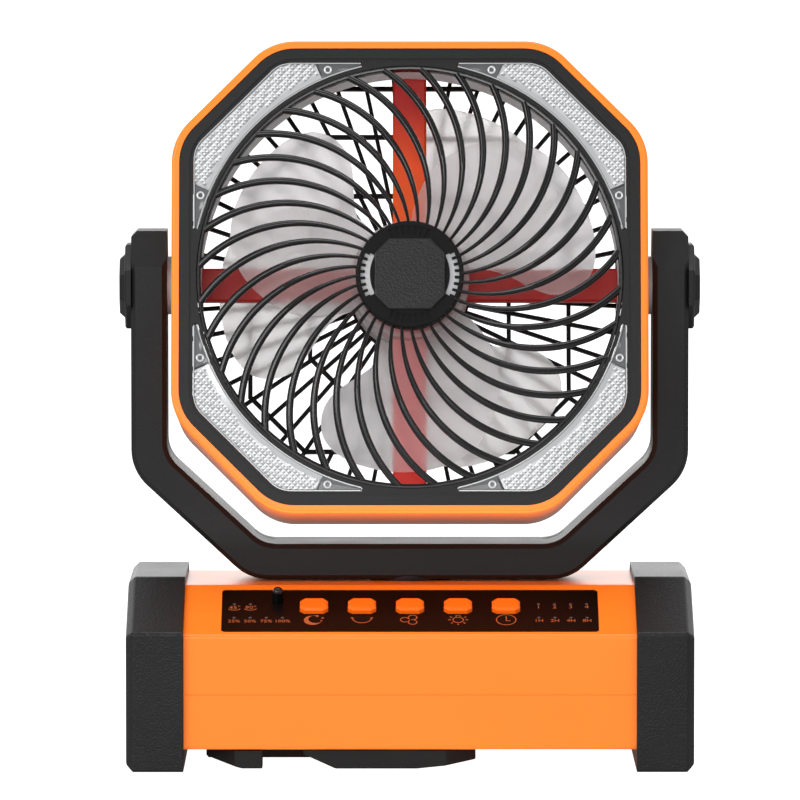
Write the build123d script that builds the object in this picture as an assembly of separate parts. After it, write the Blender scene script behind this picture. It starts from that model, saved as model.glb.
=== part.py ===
from build123d import *
import math
import os

# Rechargeable fan: a console base between two end caps, a swinging yoke and a tilting octagonal head.
# Millimetres, +Z up, the front looks towards -Y, the origin is on the floor under the middle of the base.

# Fits shared by all pieces
cut_over = 2.0
seat_gap = 0.2
slide_gap = 0.3
bearing_gap = 0.05

# End caps of the base, which are also its feet
base_width = 250.0
cap_width = 25.4
cap_depth = 122.0
cap_height = 82.1
cap_front_height = 61.5
cap_slope_run = 43.7
cap_rear_chamfer = 10.0
cap_edge_chamfer = 3.0
cap_wall = 3.0
cap_pocket_depth = 12.0

# Console body, set in from the end caps and split in an upper and a lower shell
body_front_inset = 2.6
body_slope_inset = 2.3
body_top_inset = 3.5
body_rear_inset = 4.0
body_ground_gap = 9.6
body_wall = 2.6
body_edge_radius = 2.2
body_split_height = 34.0
split_groove = 0.5

# Control panel in the sloping face
panel_lower_margin = 3.3
panel_upper_margin = 4.0
panel_recess = 1.4
panel_thickness = 1.1
panel_corner_radius = 2.0

# Push buttons
button_count = 5
button_pitch = 21.2
button_row = 2.8
button_width = 12.4
button_height = 9.8
button_corner = 2.1
button_bevel = 0.9
button_rise = 2.2
button_travel = 0.8
button_flange = 1.0
button_stem_radius = 1.5
button_stem_length = 2.4

# Indicator lights and the remote control's receiver
light_radius = 0.65
light_pitch = 7.1
light_upper_row = 6.0
light_lower_row = -5.5
light_left_margin = 5.4
light_right_margin = 4.9
light_button_gap = 8.2
light_columns = 4
swing_light_columns = 2
receiver_radius = 2.4
receiver_rise = 7.0
receiver_button_gap = 16.0
receiver_row = 8.6

# Control board behind the panel
board_side_margin = 1.0
board_edge_margin = 2.8
board_thickness = 1.6
board_depth = 12.0
board_post_radius = 2.4
board_post_margin = 4.0
switch_width = 6.0
switch_plunger_radius = 1.7
switch_plunger_rise = 1.4

# Battery
cell_diameter = 18.4
cell_length = 65.0
cell_rows = 3
cell_columns = 2
cell_space = 0.9
cell_shoulder = 1.0
battery_front_gap = 6.85
tray_base = 1.6
tray_rim = 3.0
tray_height = 10.0

# Charging board and its inlet in the rear wall
power_board_width = 40.0
power_board_length = 24.0
power_board_height = 44.0
power_post_radius = 3.0
power_post_spread = 14.0
socket_width = 8.9
socket_height = 3.3
socket_length = 7.5
socket_wall = 0.35
socket_tongue_width = 6.6
socket_tongue_height = 0.7
socket_setback = 0.3

# Swing motor under the top of the base
swing_motor_radius = 14.0
swing_motor_height = 19.0
swing_motor_drop = 13.0
swing_ear_thickness = 1.6
swing_ear_width = 8.0
swing_post_spread = 21.0
swing_post_radius = 3.0
swing_shaft_radius = 2.5
swing_shaft_grip = 5.0
motor_board_gap = 2.2

# Body screws
screw_tray_gap = 14.1
screw_edge_margin = 16.0
screw_head_radius = 2.8
screw_head_height = 1.4
screw_shank_radius = 1.3
screw_length = 11.0
screw_boss_radius = 3.6
screw_boss_height = 12.0

# Hanging hook, folded under the base
hook_cap_gap = 9.6
hook_length = 119.0
hook_bar = 11.0
hook_front_setback = 4.4
hook_corner = 13.0
hook_mouth_start = 25.0
hook_mouth_width = 18.0
hook_axis_y = 6.0
hook_axis_drop = 4.7
hook_eye_radius = 4.1
hook_ring_gap = 4.5
hook_left_slope_run = 16.0
hook_left_slope_rise = 4.2
hook_right_slope_run = 26.0
hook_right_slope_rise = 2.6
hook_mouth_slope_run = 14.0
hook_mouth_slope_rise = 6.4
hook_pin_radius = 1.7
hook_lug_width = 7.0

# Yoke: an octagonal fork that swings on the base
yoke_depth = 38.0
yoke_thickness = 15.8
yoke_lift = 0.9
yoke_shoulder_rise = 48.5
yoke_shoulder_run = 52.5
yoke_outer_radius = 22.0
yoke_inner_radius = 14.0
yoke_edge_chamfer = 2.0
arm_rise = 25.0
arm_tip_chamfer = 2.6
arm_taper_height = 15.5
arm_taper_depth = 8.6
channel_floor = 5.0
channel_width = 9.0
cover_thickness = 2.0
cover_width = 14.0
cover_stop = 20.0
lead_radius = 1.7
lead_offset = 6.2
lead_bend = 8.0

# Turntable between yoke and base
foot_radius = 18.6
washer_thickness = 0.4
washer_inner_radius = 13.0
washer_outer_radius = 17.6
spindle_radius = 10.0
spindle_bore_depth = 7.5
retainer_radius = 14.0
retainer_thickness = 2.0
retainer_screw_radius = 1.1
retainer_screw_head = 2.0
retainer_screw_head_height = 1.2
retainer_screw_length = 5.0
retainer_screw_circle = 6.5
retainer_screw_angles = (100, 180, 260)

# Tilt pivots
pivot_radius = 6.0
pivot_flange_radius = 9.0
pivot_flange_thickness = 1.6
pivot_recess_radius = 12.0
pivot_recess_depth = 5.0
pivot_screw_radius = 2.0
pivot_screw_head = 8.5
pivot_screw_head_height = 1.8
pivot_screw_length = 12.0
tilt_washer_radius = 13.0
tilt_gap = 2.4
head_under_gap = 8.5
pivot_cover_size = 37.6
pivot_cover_thickness = 2.8
pivot_cover_bevel = 0.8
pivot_knob_size = 28.4
pivot_knob_top = 24.0
pivot_knob_rise = 2.5

# Head: an octagonal shell, depths are measured back from its front edge
head_tilt = 12.2
head_half = 105.8
head_corner_leg = 44.0
head_corner_radius = 26.0
head_depth = 57.0
head_taper = 1.5
head_wall = 3.4
head_front_round = 1.4
head_rear_round = 3.0
rear_flange_depth = 5.0
rear_ledge = 2.4
rear_seat_width = 0.9
rear_seat_depth = 2.0
rear_corner_leg = 52.0
rear_corner_radius = 20.0

# Front bezel with its four lamps
bezel_set = 0.4
bezel_depth = 7.0
bezel_band = 4.6
bezel_side_band = 7.4
bezel_step = 0.8
lens_side_border = 9.7
lens_corner_border = 9.6
lens_corner_radius = 13.0
lens_ring_gap = 1.8
lens_half_angle = 32.3
lens_face = 2.2
lens_skirt = 1.6
lens_flange = 1.0
lens_flange_thickness = 1.0
lamp_board_thickness = 1.2
lamp_board_inset = 1.5
lamp_led_count = 5
lamp_led_step = 7.0
lamp_led_inset = 5.8
lamp_led_size = 3.0
lamp_led_height = 0.9

# Front grille
grille_ring_width = 1.8
grille_ring_depth = 6.4
grille_rise = 6.0
grille_crown = 1.6
rib_count = 36
rib_width = 2.1
rib_depth = 4.0
rib_root_radius = 22.6
rib_sweep = 36.0
rib_middle_sweep = 15.5
rib_phase = 1.0
hub_radius = 24.0
hub_disc = 2.0
hub_wall = 2.0
hub_depth = 8.0
vent_inner_radius = 17.6
vent_outer_radius = 21.8
vent_half_angle = 29.0
vent_bars = 5
vent_bar_width = 1.3
badge_width = 31.7
badge_corner = 6.4
badge_thickness = 1.4
badge_edge = 0.5

# Air duct ring behind the grille ring
duct_wall = 1.2
duct_depth = 18.0

# Motor cross in the middle of the shell
cross_front = 27.0
cross_thickness = 5.0
cross_width = 15.0
cross_edge = 0.9
cross_hub_radius = 22.0

# Fan motors, one on each side of the cross
motor_radius = 16.0
motor_length = 15.5
motor_edge = 1.2
motor_shaft_radius = 1.5
motor_shaft_grip = 11.0
motor_shaft_reach = 4.6

# Impellers
blade_tip_gap = 7.6
impeller_hub_radius = 26.4
impeller_hub_wall = 2.0
impeller_hub_depth = 17.0
impeller_hub_edge = 1.6
impeller_boss_radius = 4.0
impeller_motor_gap = 1.5
blade_count = 3
blade_rise = 13.0
blade_thickness = 1.6
blade_sections = 8
petal_radius_shares = (0.29, 0.52, 0.77, 0.93, 0.985, 1.0, 1.0, 0.945, 0.83, 0.72, 0.62, 0.5, 0.29)
petal_angles = (9, 4, -4.5, 1, 9, 19, 32, 50, 62, 70.5, 77, 82.5, 89)
petal_spread = (-12, 96)
front_petal_phase = 0.0
rear_petal_phase = 30.0

# Rear grille
rear_bar_count = 48
rear_bar_width = 1.6
rear_bar_phase_share = 0.56
rear_bar_depth = 2.6
rear_ring_width = 1.8
rear_ring_shares = (0.446, 0.715, 0.936)
rear_ring_corner = 1.17
rear_hub_radius = 27.0
rear_rim_leg = 44.0
rear_rim_width = 1.4
rear_screw_spread = 14.0
rear_screw_radius = 1.1
rear_screw_head = 1.7
rear_screw_head_height = 0.9
rear_screw_length = 4.0

# Places that follow from the sizes above
slope_angle = math.atan2(cap_height - cap_front_height, cap_slope_run)
body_front = body_front_inset - cap_depth / 2
body_rear = cap_depth / 2 - body_rear_inset
body_top = cap_height - body_top_inset
body_floor = body_ground_gap + body_wall
crease_drop = body_slope_inset / math.cos(slope_angle)
crease_height = cap_front_height + body_front_inset * math.tan(slope_angle) - crease_drop
tube_half = base_width / 2 - cap_width + cap_pocket_depth - seat_gap
slope_length = (body_top - crease_height) / math.sin(slope_angle)
panel_height = slope_length - panel_lower_margin - panel_upper_margin
panel_climb = panel_lower_margin + panel_height / 2
panel_centre = (
    0,
    body_front + panel_climb * math.cos(slope_angle),
    crease_height + panel_climb * math.sin(slope_angle),
)
panel_face = Plane(
    origin=panel_centre,
    x_dir=(1, 0, 0),
    z_dir=(0, -math.sin(slope_angle), math.cos(slope_angle)),
)
panel_top = panel_thickness - panel_recess
button_places = [(index - (button_count - 1) / 2) * button_pitch for index in range(button_count)]
button_names = ("sleep_button", "swing_button", "speed_button", "light_button", "timer_button")
receiver_x = button_places[0] - receiver_button_gap
right_light_start = button_places[-1] + button_width / 2 + light_button_gap
right_light_x = [right_light_start + index * light_pitch for index in range(light_columns)]
panel_width = 2 * (right_light_x[-1] + light_right_margin)
left_light_start = light_left_margin - panel_width / 2
left_light_x = [left_light_start + index * light_pitch for index in range(light_columns)]
light_places = [(x, light_upper_row) for x in left_light_x[:swing_light_columns]]
light_places += [(x, light_lower_row) for x in left_light_x]
light_places += [(x, row) for row in (light_upper_row, light_lower_row) for x in right_light_x]
board_width = panel_width - 2 * board_side_margin
board_height = panel_height - 2 * board_edge_margin
tray_length = cell_columns * (cell_length + cell_space) + 2 * tray_rim
tray_width = cell_rows * (cell_diameter + cell_space) + 2 * tray_rim
battery_y = body_front + body_wall + battery_front_gap + tray_width / 2
power_board_front = body_rear - body_wall - seat_gap - power_board_length
screw_x = tray_length / 2 + screw_tray_gap
yoke_y = power_board_front - motor_board_gap - swing_motor_radius
swing_ear_top = body_top - body_wall - swing_motor_drop
spindle_bottom = body_top - body_wall - slide_gap
yoke_half = head_half + tilt_gap + yoke_thickness
yoke_bottom = body_top + yoke_lift
axis_height = yoke_bottom + yoke_thickness + head_under_gap + head_half
arm_top = axis_height + arm_rise
arm_inner = head_half + tilt_gap
hook_axis_height = body_ground_gap - hook_axis_drop
hook_left = cap_width + hook_cap_gap - base_width / 2
hook_right = hook_left + hook_length
hook_middle_x = hook_left + hook_length / 2
hook_front = body_front + hook_front_setback
hook_ring_rear = hook_axis_y - hook_eye_radius - hook_ring_gap
shell_inner = head_half - head_wall
rear_half = shell_inner - rear_ledge
ring_outer_radius = shell_inner - bezel_side_band - 2 * seat_gap
grille_radius = ring_outer_radius - grille_ring_width
impeller_radius = grille_radius - blade_tip_gap
lens_inner_radius = ring_outer_radius + lens_ring_gap
lamp_led_radius = lens_inner_radius + lamp_led_inset
cross_rear = cross_front + cross_thickness


# Drawing helpers

def polar(radius, angle):
    """A point at a radius and an angle in degrees, counted from +X."""
    return (radius * math.cos(math.radians(angle)), radius * math.sin(math.radians(angle)))


def along_x(sketch, start, stop):
    """A side profile drawn as (y, z), stretched from one x to another."""
    return extrude(Plane.YZ.offset(start) * sketch, amount=stop - start, dir=(1, 0, 0))


def along_y(sketch, start, stop):
    """A front view drawn as (x, z), stretched from one y to another."""
    front = Plane(origin=(0, start, 0), x_dir=(1, 0, 0), z_dir=(0, -1, 0))
    return extrude(front * sketch, amount=stop - start, dir=(0, 1, 0))


def along_z(sketch, start, stop):
    """A plan drawn as (x, y), stretched from one z to another."""
    return extrude(Plane.XY.offset(start) * sketch, amount=stop - start, dir=(0, 0, 1))


def on_panel(sketch, start, stop):
    """A plan drawn on the sloping panel, stretched between two heights above the slope."""
    return extrude(panel_face.offset(start) * sketch, amount=stop - start, dir=panel_face.z_dir)


def slab(sketch, front, rear):
    """A front view of the upright head, stretched between two depths behind its front edge."""
    return along_y(sketch, front - head_depth / 2, rear - head_depth / 2)


def ring(outer, inner):
    """A flat ring."""
    return Circle(outer) - Circle(inner)


def mirrored(shape):
    """The left-hand copy of a right-hand piece."""
    return mirror(shape, about=Plane.YZ)


def in_yoke(shape):
    """The head, drawn upright about its tilt axis, set in the yoke and leaned back."""
    return Pos(0, yoke_y, axis_height) * Rot(X=-head_tilt) * shape


# Base

def console_points(front_inset, slope_inset, top_inset, rear_inset, floor):
    """Corners of the base's side profile as (y, z), with each wall moved in by its own amount."""
    front = front_inset - cap_depth / 2
    rear = cap_depth / 2 - rear_inset
    top = cap_height - top_inset
    crease = cap_front_height + front_inset * math.tan(slope_angle) - slope_inset / math.cos(slope_angle)
    brow = front + (top - crease) / math.tan(slope_angle)
    return [
        (front, floor),
        (front, crease),
        (brow, top),
        (rear - cap_rear_chamfer, top),
        (rear, top - cap_rear_chamfer),
        (rear, floor),
    ]


def body_profile(inward):
    """Side profile of the console body, moved inward by a wall or outward by a gap."""
    points = console_points(
        body_front_inset + inward,
        body_slope_inset + inward,
        body_top_inset + inward,
        body_rear_inset + inward,
        body_ground_gap + inward,
    )
    return Polygon(*points, align=None)


def body_tube():
    """The console body as one open-ended tube, before it is split."""
    outside = along_x(fillet(body_profile(0).vertices(), body_edge_radius), -tube_half, tube_half)
    inside = along_x(body_profile(body_wall), -tube_half - cut_over, tube_half + cut_over)
    return outside - inside


def button_outline(grow):
    """Octagonal outline of a button, grown all round."""
    plain = Rectangle(button_width + 2 * grow, button_height + 2 * grow)
    return chamfer(plain.vertices(), button_corner)


def panel_holes(grow, start, stop):
    """Everything that passes through the panel: buttons, lights and the receiver."""
    holes = [on_panel(Pos(x, button_row) * button_outline(slide_gap), start, stop) for x in button_places]
    holes += [on_panel(Pos(x, row) * Circle(light_radius + grow), start, stop) for x, row in light_places]
    holes.append(on_panel(Pos(receiver_x, receiver_row) * Circle(receiver_radius + grow), start, stop))
    return holes


def board_post_places():
    """Corners of the control board that are screwed to posts."""
    reach_x = board_width / 2 - board_post_margin
    reach_y = board_height / 2 - board_post_margin
    return [(x, y) for x in (-reach_x, reach_x) for y in (-reach_y, reach_y)]


def split_line_cut():
    """Shallow shadow groove along the joint of the two shells, front and rear."""
    front = Pos(0, body_front, body_split_height) * Box(2 * tube_half, split_groove, split_groove)
    rear = Pos(0, body_rear, body_split_height) * Box(2 * tube_half, split_groove, split_groove)
    return [front, rear]


def base_upper_shell():
    shell = split(body_tube(), bisect_by=Plane.XY.offset(body_split_height), keep=Keep.TOP)
    pocket = RectangleRounded(panel_width + 2 * seat_gap, panel_height + 2 * seat_gap, panel_corner_radius)
    posts = [
        on_panel(Pos(x, y) * Circle(board_post_radius), -board_depth, -panel_recess)
        for x, y in board_post_places()
    ]
    posts += [
        along_z(Pos(x, yoke_y) * Circle(swing_post_radius), swing_ear_top, body_top - body_wall / 2)
        for x in (-swing_post_spread, swing_post_spread)
    ]
    shell += posts
    shell -= on_panel(pocket, -panel_recess, cut_over)
    shell -= panel_holes(seat_gap, -body_wall - cut_over, cut_over)
    shell -= along_z(Pos(0, yoke_y) * Circle(spindle_radius + slide_gap), spindle_bottom, body_top + cut_over)
    shell -= socket_window()
    shell -= split_line_cut()
    return shell


def base_lower_shell():
    shell = split(body_tube(), bisect_by=Plane.XY.offset(body_split_height), keep=Keep.BOTTOM)
    bosses = [
        along_z(Pos(x, y) * Circle(screw_boss_radius), body_ground_gap, body_floor + screw_boss_height)
        for x, y in screw_places()
    ]
    bosses += [
        along_z(Pos(x, power_post_y()) * Circle(power_post_radius), body_ground_gap, power_board_height)
        for x in (-power_post_spread, power_post_spread)
    ]
    bosses += [hook_lug(side) for side in (-1, 1)]
    shell += bosses
    shell -= [base_screw(place, seat_gap / 2) for place in screw_places()]
    shell -= [hook_pin(side, 0) for side in (-1, 1)]
    shell -= split_line_cut()
    return shell


def screw_places():
    """Four corners of the underside."""
    front = body_front + screw_edge_margin
    rear = body_rear - screw_edge_margin
    return [(x, y) for x in (-screw_x, screw_x) for y in (front, rear)]


def base_screw(place, grow):
    """A body screw with its head sunk in the underside, grown all round for its hole."""
    x, y = place
    head_top = body_ground_gap + screw_head_height
    head = along_z(Pos(x, y) * Circle(screw_head_radius + grow), body_ground_gap, head_top)
    shank = along_z(Pos(x, y) * Circle(screw_shank_radius + grow), body_ground_gap, head_top + screw_length)
    return head + shank


def base_screws():
    return Part() + [base_screw(place, 0) for place in screw_places()]


def right_end_cap():
    inner = base_width / 2 - cap_width
    outline = Polygon(*console_points(0, 0, 0, 0, 0), align=None)
    cap = along_x(outline, inner, base_width / 2)
    cap = chamfer(cap.faces().sort_by(Axis.X)[-1].edges(), cap_edge_chamfer)
    cap -= along_x(body_profile(-seat_gap), inner - cut_over, inner + cap_pocket_depth)
    return cap - along_x(body_profile(body_wall), inner, base_width / 2 - cap_wall)


def control_panel():
    outline = RectangleRounded(panel_width, panel_height, panel_corner_radius)
    plate = on_panel(outline, -panel_recess, panel_top)
    return plate - panel_holes(seat_gap, -body_wall, cut_over)


def push_button(x):
    """A button cap with its retaining flange under the shell and its stem above the switch."""
    under_wall = -body_wall - seat_gap
    cap = on_panel(button_outline(0), under_wall, button_rise)
    cap = chamfer(cap.faces().sort_by(Axis(panel_centre, panel_face.z_dir))[-1].edges(), button_bevel)
    flange = on_panel(button_outline(button_flange), under_wall - button_flange, under_wall)
    stem_end = under_wall - button_flange - button_stem_length
    stem = on_panel(Circle(button_stem_radius), stem_end, under_wall)
    return Pos(panel_face.x_dir * x + panel_face.y_dir * button_row) * (cap + flange + stem)


def remote_receiver():
    dome_height = panel_top + receiver_rise - receiver_radius
    post = on_panel(Pos(receiver_x, receiver_row) * Circle(receiver_radius), -board_depth, dome_height)
    return post + panel_face.location * Pos(receiver_x, receiver_row, dome_height) * Sphere(receiver_radius)


def indicator_lights():
    return Part() + [
        on_panel(Pos(x, row) * Circle(light_radius), -board_depth, panel_top) for x, row in light_places
    ]


def control_board():
    return on_panel(Rectangle(board_width, board_height), -board_depth - board_thickness, -board_depth)


def tact_switches():
    """One switch under each button, its plunger just clear of a fully pressed stem."""
    stem_end = -body_wall - seat_gap - button_flange - button_stem_length
    plunger_top = stem_end - button_travel - seat_gap / 2
    body_height = plunger_top - switch_plunger_rise
    switches = []
    for x in button_places:
        place = Pos(x, button_row)
        body = on_panel(place * Rectangle(switch_width, switch_width), -board_depth, body_height)
        plunger = on_panel(place * Circle(switch_plunger_radius), -board_depth, plunger_top)
        switches.append(body + plunger)
    return Part() + switches


def cell_places():
    """Centres of the battery cells as (x, y, z)."""
    step_x = cell_length + cell_space
    step_y = cell_diameter + cell_space
    height = body_floor + tray_base + cell_diameter / 2
    return [
        ((column - (cell_columns - 1) / 2) * step_x, battery_y + (row - (cell_rows - 1) / 2) * step_y, height)
        for column in range(cell_columns)
        for row in range(cell_rows)
    ]


def battery_cells():
    """Round cells lying along x, each with a smaller positive cap."""
    cells = []
    for place in cell_places():
        body = Cylinder(cell_diameter / 2, cell_length - cell_shoulder, rotation=(0, 90, 0))
        cap = Pos(cell_length / 2 - cell_shoulder, 0, 0) * Cylinder(
            cell_diameter / 4, cell_shoulder, rotation=(0, 90, 0)
        )
        cells.append(Pos(*place) * (body + cap))
    return Part() + cells


def battery_tray():
    outline = Pos(0, battery_y) * Rectangle(tray_length, tray_width)
    tray = along_z(outline, body_floor, body_floor + tray_height)
    bed = Cylinder(cell_diameter / 2 + seat_gap / 2, cell_length + seat_gap, rotation=(0, 90, 0))
    return tray - [Pos(*place) * bed for place in cell_places()]


def power_post_y():
    """The charging board's posts stand under its middle."""
    return power_board_front + power_board_length / 2


def power_board():
    plate = Pos(0, power_post_y()) * Rectangle(power_board_width, power_board_length)
    return along_z(plate, power_board_height, power_board_height + board_thickness)


def socket_middle():
    """Height of the inlet's axis, seated on the charging board."""
    return power_board_height + board_thickness + socket_height / 2


def socket_window():
    opening = Pos(0, socket_middle()) * SlotOverall(socket_width + 2 * seat_gap, socket_height + 2 * seat_gap)
    return along_y(opening, body_rear - body_wall - cut_over, body_rear + cut_over)


def charge_socket():
    """Round-ended metal shell with its contact tongue, open to the rear."""
    rear = body_rear - socket_setback
    front = rear - socket_length
    place = Pos(0, socket_middle())
    shell = along_y(place * SlotOverall(socket_width, socket_height), front, rear)
    bore = place * SlotOverall(socket_width - 2 * socket_wall, socket_height - 2 * socket_wall)
    shell -= along_y(bore, front + socket_wall, rear + cut_over)
    tongue = place * Rectangle(socket_tongue_width, socket_tongue_height)
    return shell + along_y(tongue, front, rear - socket_height / 2)


def swing_motor():
    plan = Pos(0, yoke_y)
    can = along_z(plan * Circle(swing_motor_radius), swing_ear_top - swing_motor_height, swing_ear_top)
    ears = plan * SlotOverall(2 * swing_post_spread + swing_ear_width, swing_ear_width)
    motor = can + along_z(ears, swing_ear_top - swing_ear_thickness, swing_ear_top)
    bore = plan * Circle(swing_shaft_radius + bearing_gap)
    return motor - along_z(bore, swing_ear_top - swing_shaft_grip - seat_gap, swing_ear_top + cut_over)


def slip_washer():
    plan = Pos(0, yoke_y) * ring(washer_outer_radius, washer_inner_radius)
    return along_z(plan, body_top, body_top + washer_thickness)


# Hanging hook

def hook_arm_span(side):
    """Where one side arm of the hook begins and ends along x."""
    if side < 0:
        return hook_left, hook_left + hook_bar
    return hook_right - hook_bar, hook_right


def hook_lug_span(side):
    """Where the lug beside a hook arm begins and ends along x."""
    start, stop = hook_arm_span(side)
    if side < 0:
        return stop + slide_gap, stop + slide_gap + hook_lug_width
    return start - slide_gap - hook_lug_width, start - slide_gap


def hook_lug(side):
    """A lug under the body that carries one hook pin."""
    start, stop = hook_lug_span(side)
    eye = Pos(hook_axis_y, hook_axis_height) * Circle(hook_eye_radius)
    height = body_floor - hook_axis_height
    neck = Pos(hook_axis_y, hook_axis_height + height / 2) * Rectangle(2 * hook_eye_radius, height)
    return along_x(eye + neck, start, stop)


def hook_pin(side, grow):
    """A short pin through a lug and the hook's eye beside it."""
    arm = hook_arm_span(side)
    lug = hook_lug_span(side)
    plan = Pos(hook_axis_y, hook_axis_height) * Circle(hook_pin_radius + grow)
    return along_x(plan, min(arm[0], lug[0]), max(arm[1], lug[1]))


def hook_pins():
    return Part() + [hook_pin(side, 0) for side in (-1, 1)]


def hook_slope(x, run, rise):
    """A wedge taken off the underside of the hook's front bar."""
    low = hook_axis_height - hook_eye_radius
    wedge = Polygon((x, low), (x + run, low), (x, low + rise), align=None)
    return along_y(wedge, hook_front, hook_ring_rear - hook_bar)


def hanging_hook():
    """A flat octagonal C with its mouth in the front bar and two eyes on the hinge axis."""
    low = hook_axis_height - hook_eye_radius
    high = hook_axis_height + hook_eye_radius
    depth = hook_ring_rear - hook_front
    middle = Pos(hook_middle_x, hook_front + depth / 2)
    outer = chamfer(Rectangle(hook_length, depth).vertices(), hook_corner)
    inner = Rectangle(hook_length - 2 * hook_bar, depth - 2 * hook_bar)
    inner = chamfer(inner.vertices(), hook_corner / 2)
    mouth_x = hook_left + hook_mouth_start + hook_mouth_width / 2
    mouth = Pos(mouth_x, hook_front) * Rectangle(hook_mouth_width, 2 * (hook_bar + cut_over))
    hook = along_z(middle * (outer - inner) - mouth, low, high)
    for side in (-1, 1):
        start, stop = hook_arm_span(side)
        arm = Pos((start + stop) / 2, (hook_ring_rear - hook_corner + hook_axis_y) / 2)
        arm_length = hook_axis_y - hook_ring_rear + hook_corner
        hook += along_z(arm * Rectangle(hook_bar, arm_length), low, high)
        hook += along_x(Pos(hook_axis_y, hook_axis_height) * Circle(hook_eye_radius), start, stop)
    hook -= [hook_pin(side, bearing_gap) for side in (-1, 1)]
    hook -= hook_slope(hook_left, hook_left_slope_run, hook_left_slope_rise)
    mouth_right = hook_left + hook_mouth_start + hook_mouth_width
    hook -= hook_slope(mouth_right, hook_mouth_slope_run, hook_mouth_slope_rise)
    return hook - hook_slope(hook_right, -hook_right_slope_run, hook_right_slope_rise)


# Yoke

def yoke_points(inset, top):
    """Corners of the fork's outline as (x, z), moved in by an even amount on every side."""
    half = yoke_half - inset
    low = yoke_bottom + inset
    length = math.hypot(yoke_shoulder_run, yoke_shoulder_rise)
    normal_x = yoke_shoulder_rise / length
    normal_z = -yoke_shoulder_run / length
    reach = normal_x * yoke_half + normal_z * (yoke_bottom + yoke_shoulder_rise) - inset
    shoulder = (reach - normal_x * half) / normal_z
    foot = (reach - normal_z * low) / normal_x
    return [(half, top), (half, shoulder), (foot, low), (-foot, low), (-half, shoulder), (-half, top)]


def yoke_outline(inset, top, radius):
    """The fork's outline with its four lower corners rounded."""
    outline = Polygon(*yoke_points(inset, top), align=None)
    corners = [vertex for vertex in outline.vertices() if vertex.Y < top - cut_over]
    return fillet(corners, radius)


def yoke_band(outer_inset, inner_inset, width):
    """A band that follows the inside of the fork up to below the pivots."""
    top = axis_height - cover_stop
    outer = yoke_outline(outer_inset, top, yoke_inner_radius)
    inner = yoke_outline(inner_inset, top + cut_over, yoke_inner_radius)
    return along_y(outer - inner, yoke_y - width / 2, yoke_y + width / 2)


def arm_side_profile():
    """Side view of the fork as (y, z): its arms taper to an octagonal tip."""
    half = yoke_depth / 2
    flat = half - arm_taper_depth
    low = yoke_bottom - cut_over
    break_height = arm_top - arm_taper_height
    points = [
        (yoke_y - half - cut_over, low),
        (yoke_y - half - cut_over, break_height - cut_over),
        (yoke_y - half, break_height),
        (yoke_y - flat, arm_top),
        (yoke_y + flat, arm_top),
        (yoke_y + half, break_height),
        (yoke_y + half + cut_over, break_height - cut_over),
        (yoke_y + half + cut_over, low),
    ]
    return Polygon(*points, align=None)


def lead_hole(radius, start, stop):
    """Hole for the lead beside the swing shaft."""
    return along_z(Pos(lead_offset, yoke_y) * Circle(radius), start, stop)


def lead_middle():
    """How far the lead runs inside the fork's outer faces."""
    return (channel_floor + yoke_thickness - cover_thickness) / 2


def lead_bend_cut():
    """Room for the lead's bend where it turns from the spindle into the channel."""
    low = yoke_bottom + lead_middle() - lead_bend
    width = 2 * (lead_radius + seat_gap)
    room = Pos(lead_offset + lead_bend / 2, yoke_y) * Rectangle(lead_bend, width)
    return along_z(room, low, yoke_bottom + channel_floor + cut_over)


def pivot_bores():
    """Bearing bores of the tilt pins with a recess for the screw heads under the covers."""
    axis = Pos(yoke_y, axis_height)
    bores = []
    for side in (-1, 1):
        inner = side * (arm_inner - cut_over)
        outer = side * (yoke_half + cut_over)
        recess = side * (yoke_half - pivot_recess_depth)
        bores.append(along_x(axis * Circle(pivot_radius + bearing_gap), min(inner, outer), max(inner, outer)))
        bores.append(along_x(axis * Circle(pivot_recess_radius), min(recess, outer), max(recess, outer)))
    return bores


def yoke():
    """The fork with its turntable foot and hollow spindle."""
    outline = yoke_outline(0, arm_top, yoke_outer_radius)
    tips = [vertex for vertex in outline.vertices() if vertex.Y > arm_top - seat_gap]
    outline = chamfer(tips, arm_tip_chamfer)
    inside = yoke_outline(yoke_thickness, arm_top + cut_over, yoke_inner_radius)
    fork = along_y(outline - inside, yoke_y - yoke_depth / 2, yoke_y + yoke_depth / 2)
    faces = fork.faces().sort_by(Axis.Y)
    rim_limit = arm_top - arm_tip_chamfer
    rims = [edge for edge in faces[0].edges() + faces[-1].edges() if edge.center().Z < rim_limit]
    fork = chamfer(rims, yoke_edge_chamfer)
    fork = fork & along_x(arm_side_profile(), -yoke_half - cut_over, yoke_half + cut_over)
    foot_bottom = body_top + washer_thickness + seat_gap / 2
    plan = Pos(0, yoke_y)
    fork += along_z(plan * Circle(foot_radius), foot_bottom, yoke_bottom + yoke_edge_chamfer)
    fork += along_z(plan * Circle(spindle_radius), spindle_bottom, yoke_bottom)
    fork -= along_z(
        plan * Circle(swing_shaft_radius + bearing_gap), spindle_bottom, spindle_bottom + spindle_bore_depth
    )
    fork -= lead_hole(lead_radius + seat_gap, spindle_bottom, yoke_bottom + channel_floor + cut_over)
    fork -= lead_bend_cut()
    fork -= yoke_band(channel_floor, yoke_thickness - cover_thickness, channel_width)
    fork -= yoke_band(yoke_thickness - cover_thickness - seat_gap, yoke_thickness, cover_width + 2 * seat_gap)
    fork -= [retainer_screw(angle, seat_gap / 2) for angle in retainer_screw_angles]
    return fork - pivot_bores()


def yoke_inner_cover():
    """Thin strip that closes the lead channel on the inside of the fork."""
    band = yoke_band(yoke_thickness - cover_thickness, yoke_thickness, cover_width)
    top = axis_height - cover_stop - seat_gap
    return band & along_z(Rectangle(2 * yoke_half, cap_depth), yoke_bottom, top)


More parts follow.
